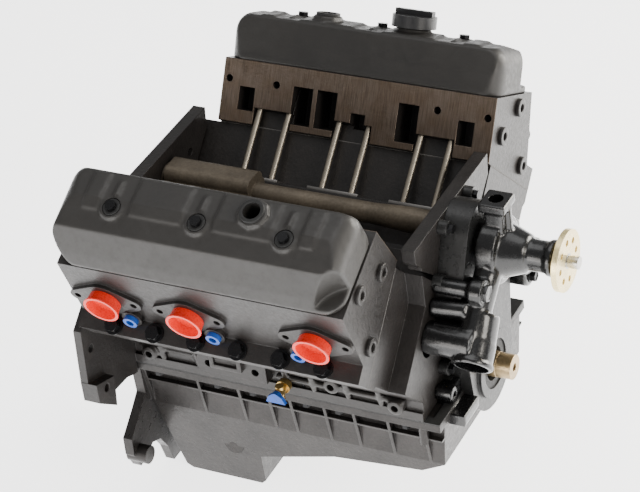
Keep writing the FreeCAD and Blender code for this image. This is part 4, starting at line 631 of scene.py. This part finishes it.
# %% [markdown]
# The valve covers are soft castings: their ends roll over, panels stand a little proud between the
# bolts, and a hollow is scooped from the front corner. Each is drawn out of its outline, cut to a
# pillow for the round ends, melted with its panels and bosses, and hollowed afterwards.

# %% Valve covers
COVER_LONG, COVER_WIDE, COVER_TALL = 0.371, 0.114, 0.060
OUTLINE = ((-0.057, 0), (0.057, 0), (0.057, 0.005), (0.0555, 0.008), (0.050, 0.020),
           (0.031, 0.051), (-0.008, 0.060), (-0.046, 0.057), (-0.053, 0.026), (-0.0555, 0.008),
           (-0.057, 0.005))
PANEL = ((-0.042, 0.05), (0.006, 0.05), (0.006, 0.0588), (-0.008, 0.0624), (-0.042, 0.0592))
PANELS_AT = ((-0.0950, -0.0215), (0.0190, 0.0880), (0.1295, 0.1500), (-0.1500, -0.1315))
BREATHER, FILLER = (-0.066, -0.022), (0.048, -0.012)
BREATHER_BORE, FILLER_BORE, BOLT_SEAT_BORE, BOLT_BORE = 0.0110, 0.0190, 0.0116, 0.004
BOSS_ROOT, BOLT_SEAT, BOLT_BOSS_TOP = 0.045, 0.057, 0.0592
SCOOP, WALL_AT_SCOOP = 0.048, 0.0035
WALL, ROOF, ROOF_LONG, ROOF_INBOARD, ROOF_OUTBOARD = 0.009, 0.047, 0.153, -0.042, 0.027
END_ROUND = 0.025
HOLE_FOOT, CLEAR_OF_COVER = 0.03, 0.09


def prism(outline, low, high):
    """A solid of one outline, its corners given as (y, z), from one X to another."""
    piece = add("circle", vertices=len(outline), fill_type="NGON")
    for corner, (y, z) in zip(piece.data.vertices, outline):
        corner.co = (low, y, z)
    bpy.ops.object.mode_set(mode="EDIT")
    bpy.ops.mesh.select_all(action="SELECT")
    bpy.ops.mesh.extrude_region_move(TRANSFORM_OT_translate={"value": (high - low, 0, 0)})
    bpy.ops.mesh.select_all(action="SELECT")
    bpy.ops.mesh.normals_make_consistent(inside=False)
    bpy.ops.object.mode_set(mode="OBJECT")
    return piece


def upright(x, y, low, high, radius, sides=40):
    """A cylinder square to the cover's foot, from one height to another."""
    return rod((x, y, low), (x, y, high), radius, sides)


def cover_frame(side):
    """From the cover's own frame, flat on its rail, to the engine's."""
    half_turn = Matrix.Rotation(math.pi if side < 0 else 0, 4, "Z")
    turn = half_turn @ Matrix.Rotation(-math.pi / 4, 4, "X")
    rail = Matrix.Translation((0, RAIL_OUT, RAIL_UP)) @ Matrix.Rotation(RAIL_LEAN, 4, "X")
    return Matrix.Translation((MIDDLE_OF[side], 0, 0)) @ turn @ rail


def cover_inside(corner):
    """The room under the cover: it narrows to the roof and stays clear of the scoop."""
    half_long, half_wide = COVER_LONG / 2 - WALL, COVER_WIDE / 2 - WALL
    room = block_of((-half_long, -half_wide, -0.002), (half_long, half_wide, ROOF))
    for point in room.data.vertices:
        if point.co.z > ROOF / 2:
            point.co.x *= ROOF_LONG / half_long
            point.co.y = ROOF_OUTBOARD if point.co.y > 0 else ROOF_INBOARD
    return cut(room, upright(*corner, -0.01, 0.08, SCOOP + WALL_AT_SCOOP, 72))


for side, name in BANKS:
    corner = ((COVER_LONG / 2 + 0.014) * side, COVER_WIDE / 2 + 0.010)
    shell = prism(OUTLINE, -COVER_LONG / 2, COVER_LONG / 2)
    pillow = block_of((-COVER_LONG / 2, -COVER_WIDE / 2, COVER_TALL - 0.20025),
                      (COVER_LONG / 2, COVER_WIDE / 2, COVER_TALL + 0.00025))
    cut(shell, soften(pillow, END_ROUND, 10), "INTERSECT")
    cut(shell, upright(*corner, 0.008, 0.08, SCOOP, 72))
    parts = [shell] + [prism(PANEL, start, end) for start, end in PANELS_AT]
    for x in CYLINDERS:
        parts.append(upright(x, 0, BOSS_ROOT, BOLT_BOSS_TOP, 0.0150))
        parts.append(rod((x, -0.014, 0.0585), (x, -0.034, 0.0560), 0.0042, 20))
    parts.append(upright(*BREATHER, BOSS_ROOT, 0.0670, 0.0195, 8))
    holes = [upright(*BREATHER, HOLE_FOOT, CLEAR_OF_COVER, BREATHER_BORE)]
    if name == "left":
        parts.append(upright(*FILLER, BOSS_ROOT, 0.0660, 0.0220))
        holes.append(upright(*FILLER, HOLE_FOOT, CLEAR_OF_COVER, FILLER_BORE))
    cover = melt(f"{name}_cover_casting", parts, MEDIUM, 8)
    cut(cover, cover_inside(corner))
    seats = [upright(x, 0, BOLT_SEAT, CLEAR_OF_COVER, BOLT_SEAT_BORE) for x in CYLINDERS]
    cut(cover, join("seats", seats))
    holes += [upright(x, 0, HOLE_FOOT, CLEAR_OF_COVER, BOLT_BORE) for x in CYLINDERS]
    cut(cover, join("holes", holes))
    only(cover)
    cover.matrix_world = cover_frame(side)
    apply_transform()
    wear(cover, dressed[f"{name}_valve_cover"])
    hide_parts(f"{name}_valve_cover")

# %% [markdown]
# Under every valve cover bolt sits a rubber grommet, and the breather hole holds one too. Each is
# a short cylinder bored right through, then bevelled until it looks moulded.

# %% Rubber grommets
def grommet(radius, height, hole):
    """A rubber ring that stands on Z, its edges rounded."""
    ring = standing(radius, height, 48)
    cut(ring, rod((0, 0, -height), (0, 0, height * 2), hole, 48))
    return soften(ring, height * 0.22, 3)


BOLT_RING_UP, BREATHER_RING_UP = 0.0562, 0.0665
spots = [(on_rail(side, x, 0, BOLT_RING_UP), rail_way(side))
         for side, name in BANKS for x in CYLINDERS]
rings = copies(grommet(0.0108, 0.0035, 0.006), "cover_bolt_grommets", spots)
wear(rings, dressed["crank_seal"])
spots = [(on_rail(side, BREATHER[0] * side, BREATHER[1], BREATHER_RING_UP), rail_way(side))
         for side, name in BANKS]
rings = copies(grommet(0.0152, 0.004, 0.0105), "breather_grommets", spots)
wear(rings, dressed["crank_seal"])

# %% [markdown]
# The block's sides carry cast ribs and drilled bosses, melted together a side at a time, like the
# pump, so that each grows out of the wall. A boxed pad with a sunk middle is set beside them.

# %% Ribs, bosses and pad on the block
SKIRT = -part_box("oil_pan_gasket")[0].y
RIBS_AT = (0.062, 0.112, 0.236, 0.272, 0.318, 0.362)
BEADS = ((0.03, 0.118, 0.030), (0.222, 0.395, 0.024))
BOSSES_AT = ((0.046, 0.022), (0.30, 0.03), (0.384, 0.018))
PAD_AT = (0.163, 0.05)


def beside(side, x, out, z):
    """A point beside the block, measured outward from its skirt."""
    return (x, (SKIRT + out) * side, z)


for side, name in reversed(BANKS):
    parts = [rod(beside(side, x, -0.006, 0.004), beside(side, x, 0.004, 0.04), 0.0045, 20)
             for x in RIBS_AT]
    parts += [rod(beside(side, start, -0.001, z), beside(side, end, -0.001, z), 0.0042, 20)
              for start, end, z in BEADS]
    parts += [rod(beside(side, x, -0.01, z), beside(side, x, 0.008, z), 0.0105)
              for x, z in BOSSES_AT]
    ribs = melt(f"{name}_block_ribs", parts, COARSE, 5)
    for x, z in BOSSES_AT:
        cut(ribs, rod(beside(side, x, 0.0, z), beside(side, x, 0.02, z), 0.0048, 24))
    wear(ribs, dressed["engine_block"])
    pad = block_of((-0.022, -0.018, -0.001), (0.022, 0.018, 0.008))
    sink(lambda c: c.z > 0.007, 0.006, -0.005)
    soften(pad, 0.0012, 3)
    place(pad, beside(side, PAD_AT[0], 0.0115, PAD_AT[1]), (0, side, 0))
    pad.name = f"{name}_boxed_pad"
    wear(pad, dressed["engine_block"])

# %% [markdown]
# The ends of both heads have drilled bosses for brackets. Each is a cylinder with its face inset
# and sunk for the threaded hole.

# %% Bosses on the ends of the heads
END_BOSSES = ((0.03, 0.252), (-0.055, 0.27), (-0.02, 0.315))


def drilled_boss(radius, height, hole, deep):
    """A round boss that stands on Z, with a blind hole sunk in its face."""
    boss = standing(radius, height)
    sink(lambda c: c.z > height * 0.9, radius - hole, -deep)
    return soften(boss, 0.0008)


for side, name in BANKS:
    low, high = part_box(f"{name}_cylinder_head")
    spots = []
    for end, way in ((low.x - MIDDLE_OF[side], -1), (high.x - MIDDLE_OF[side], 1)):
        for out, rise in END_BOSSES:
            spots.append((on_bank(side, end - 0.001 * way, out, rise), (way, 0, 0)))
    bosses = copies(drilled_boss(0.0115, 0.006, 0.0052, 0.0055), f"{name}_head_end_bosses", spots)
    wear(bosses, dressed[f"{name}_cylinder_head"])

# %% [markdown]
# The lifters are kept from turning by pressed steel guides. A guide is a thin plate with two round
# windows; it lies on the lifter bosses.

# %% Lifter guides in the valley
GUIDE_OUT, GUIDE_UP, WINDOW, WINDOW_SHIFT = -0.081, 0.1595, 0.0112, 0.0205
for side, name in BANKS:
    spots = [(on_bank(side, x, GUIDE_OUT, GUIDE_UP), bank_way(side, 0, 1), math.pi / 2)
             for x in CYLINDERS]
    guide = block_of((-0.013, -0.035, 0), (0.013, 0.035, 0.004))
    for shift in (-WINDOW_SHIFT, WINDOW_SHIFT):
        cut(guide, rod((0, shift, -0.01), (0, shift, 0.02), WINDOW))
    soften(guide, 0.0007)
    wear(copies(guide, f"{name}_lifter_guides", spots), dressed["rocker_arms"])

# %% The bounds of everything but the floor
low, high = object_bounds()
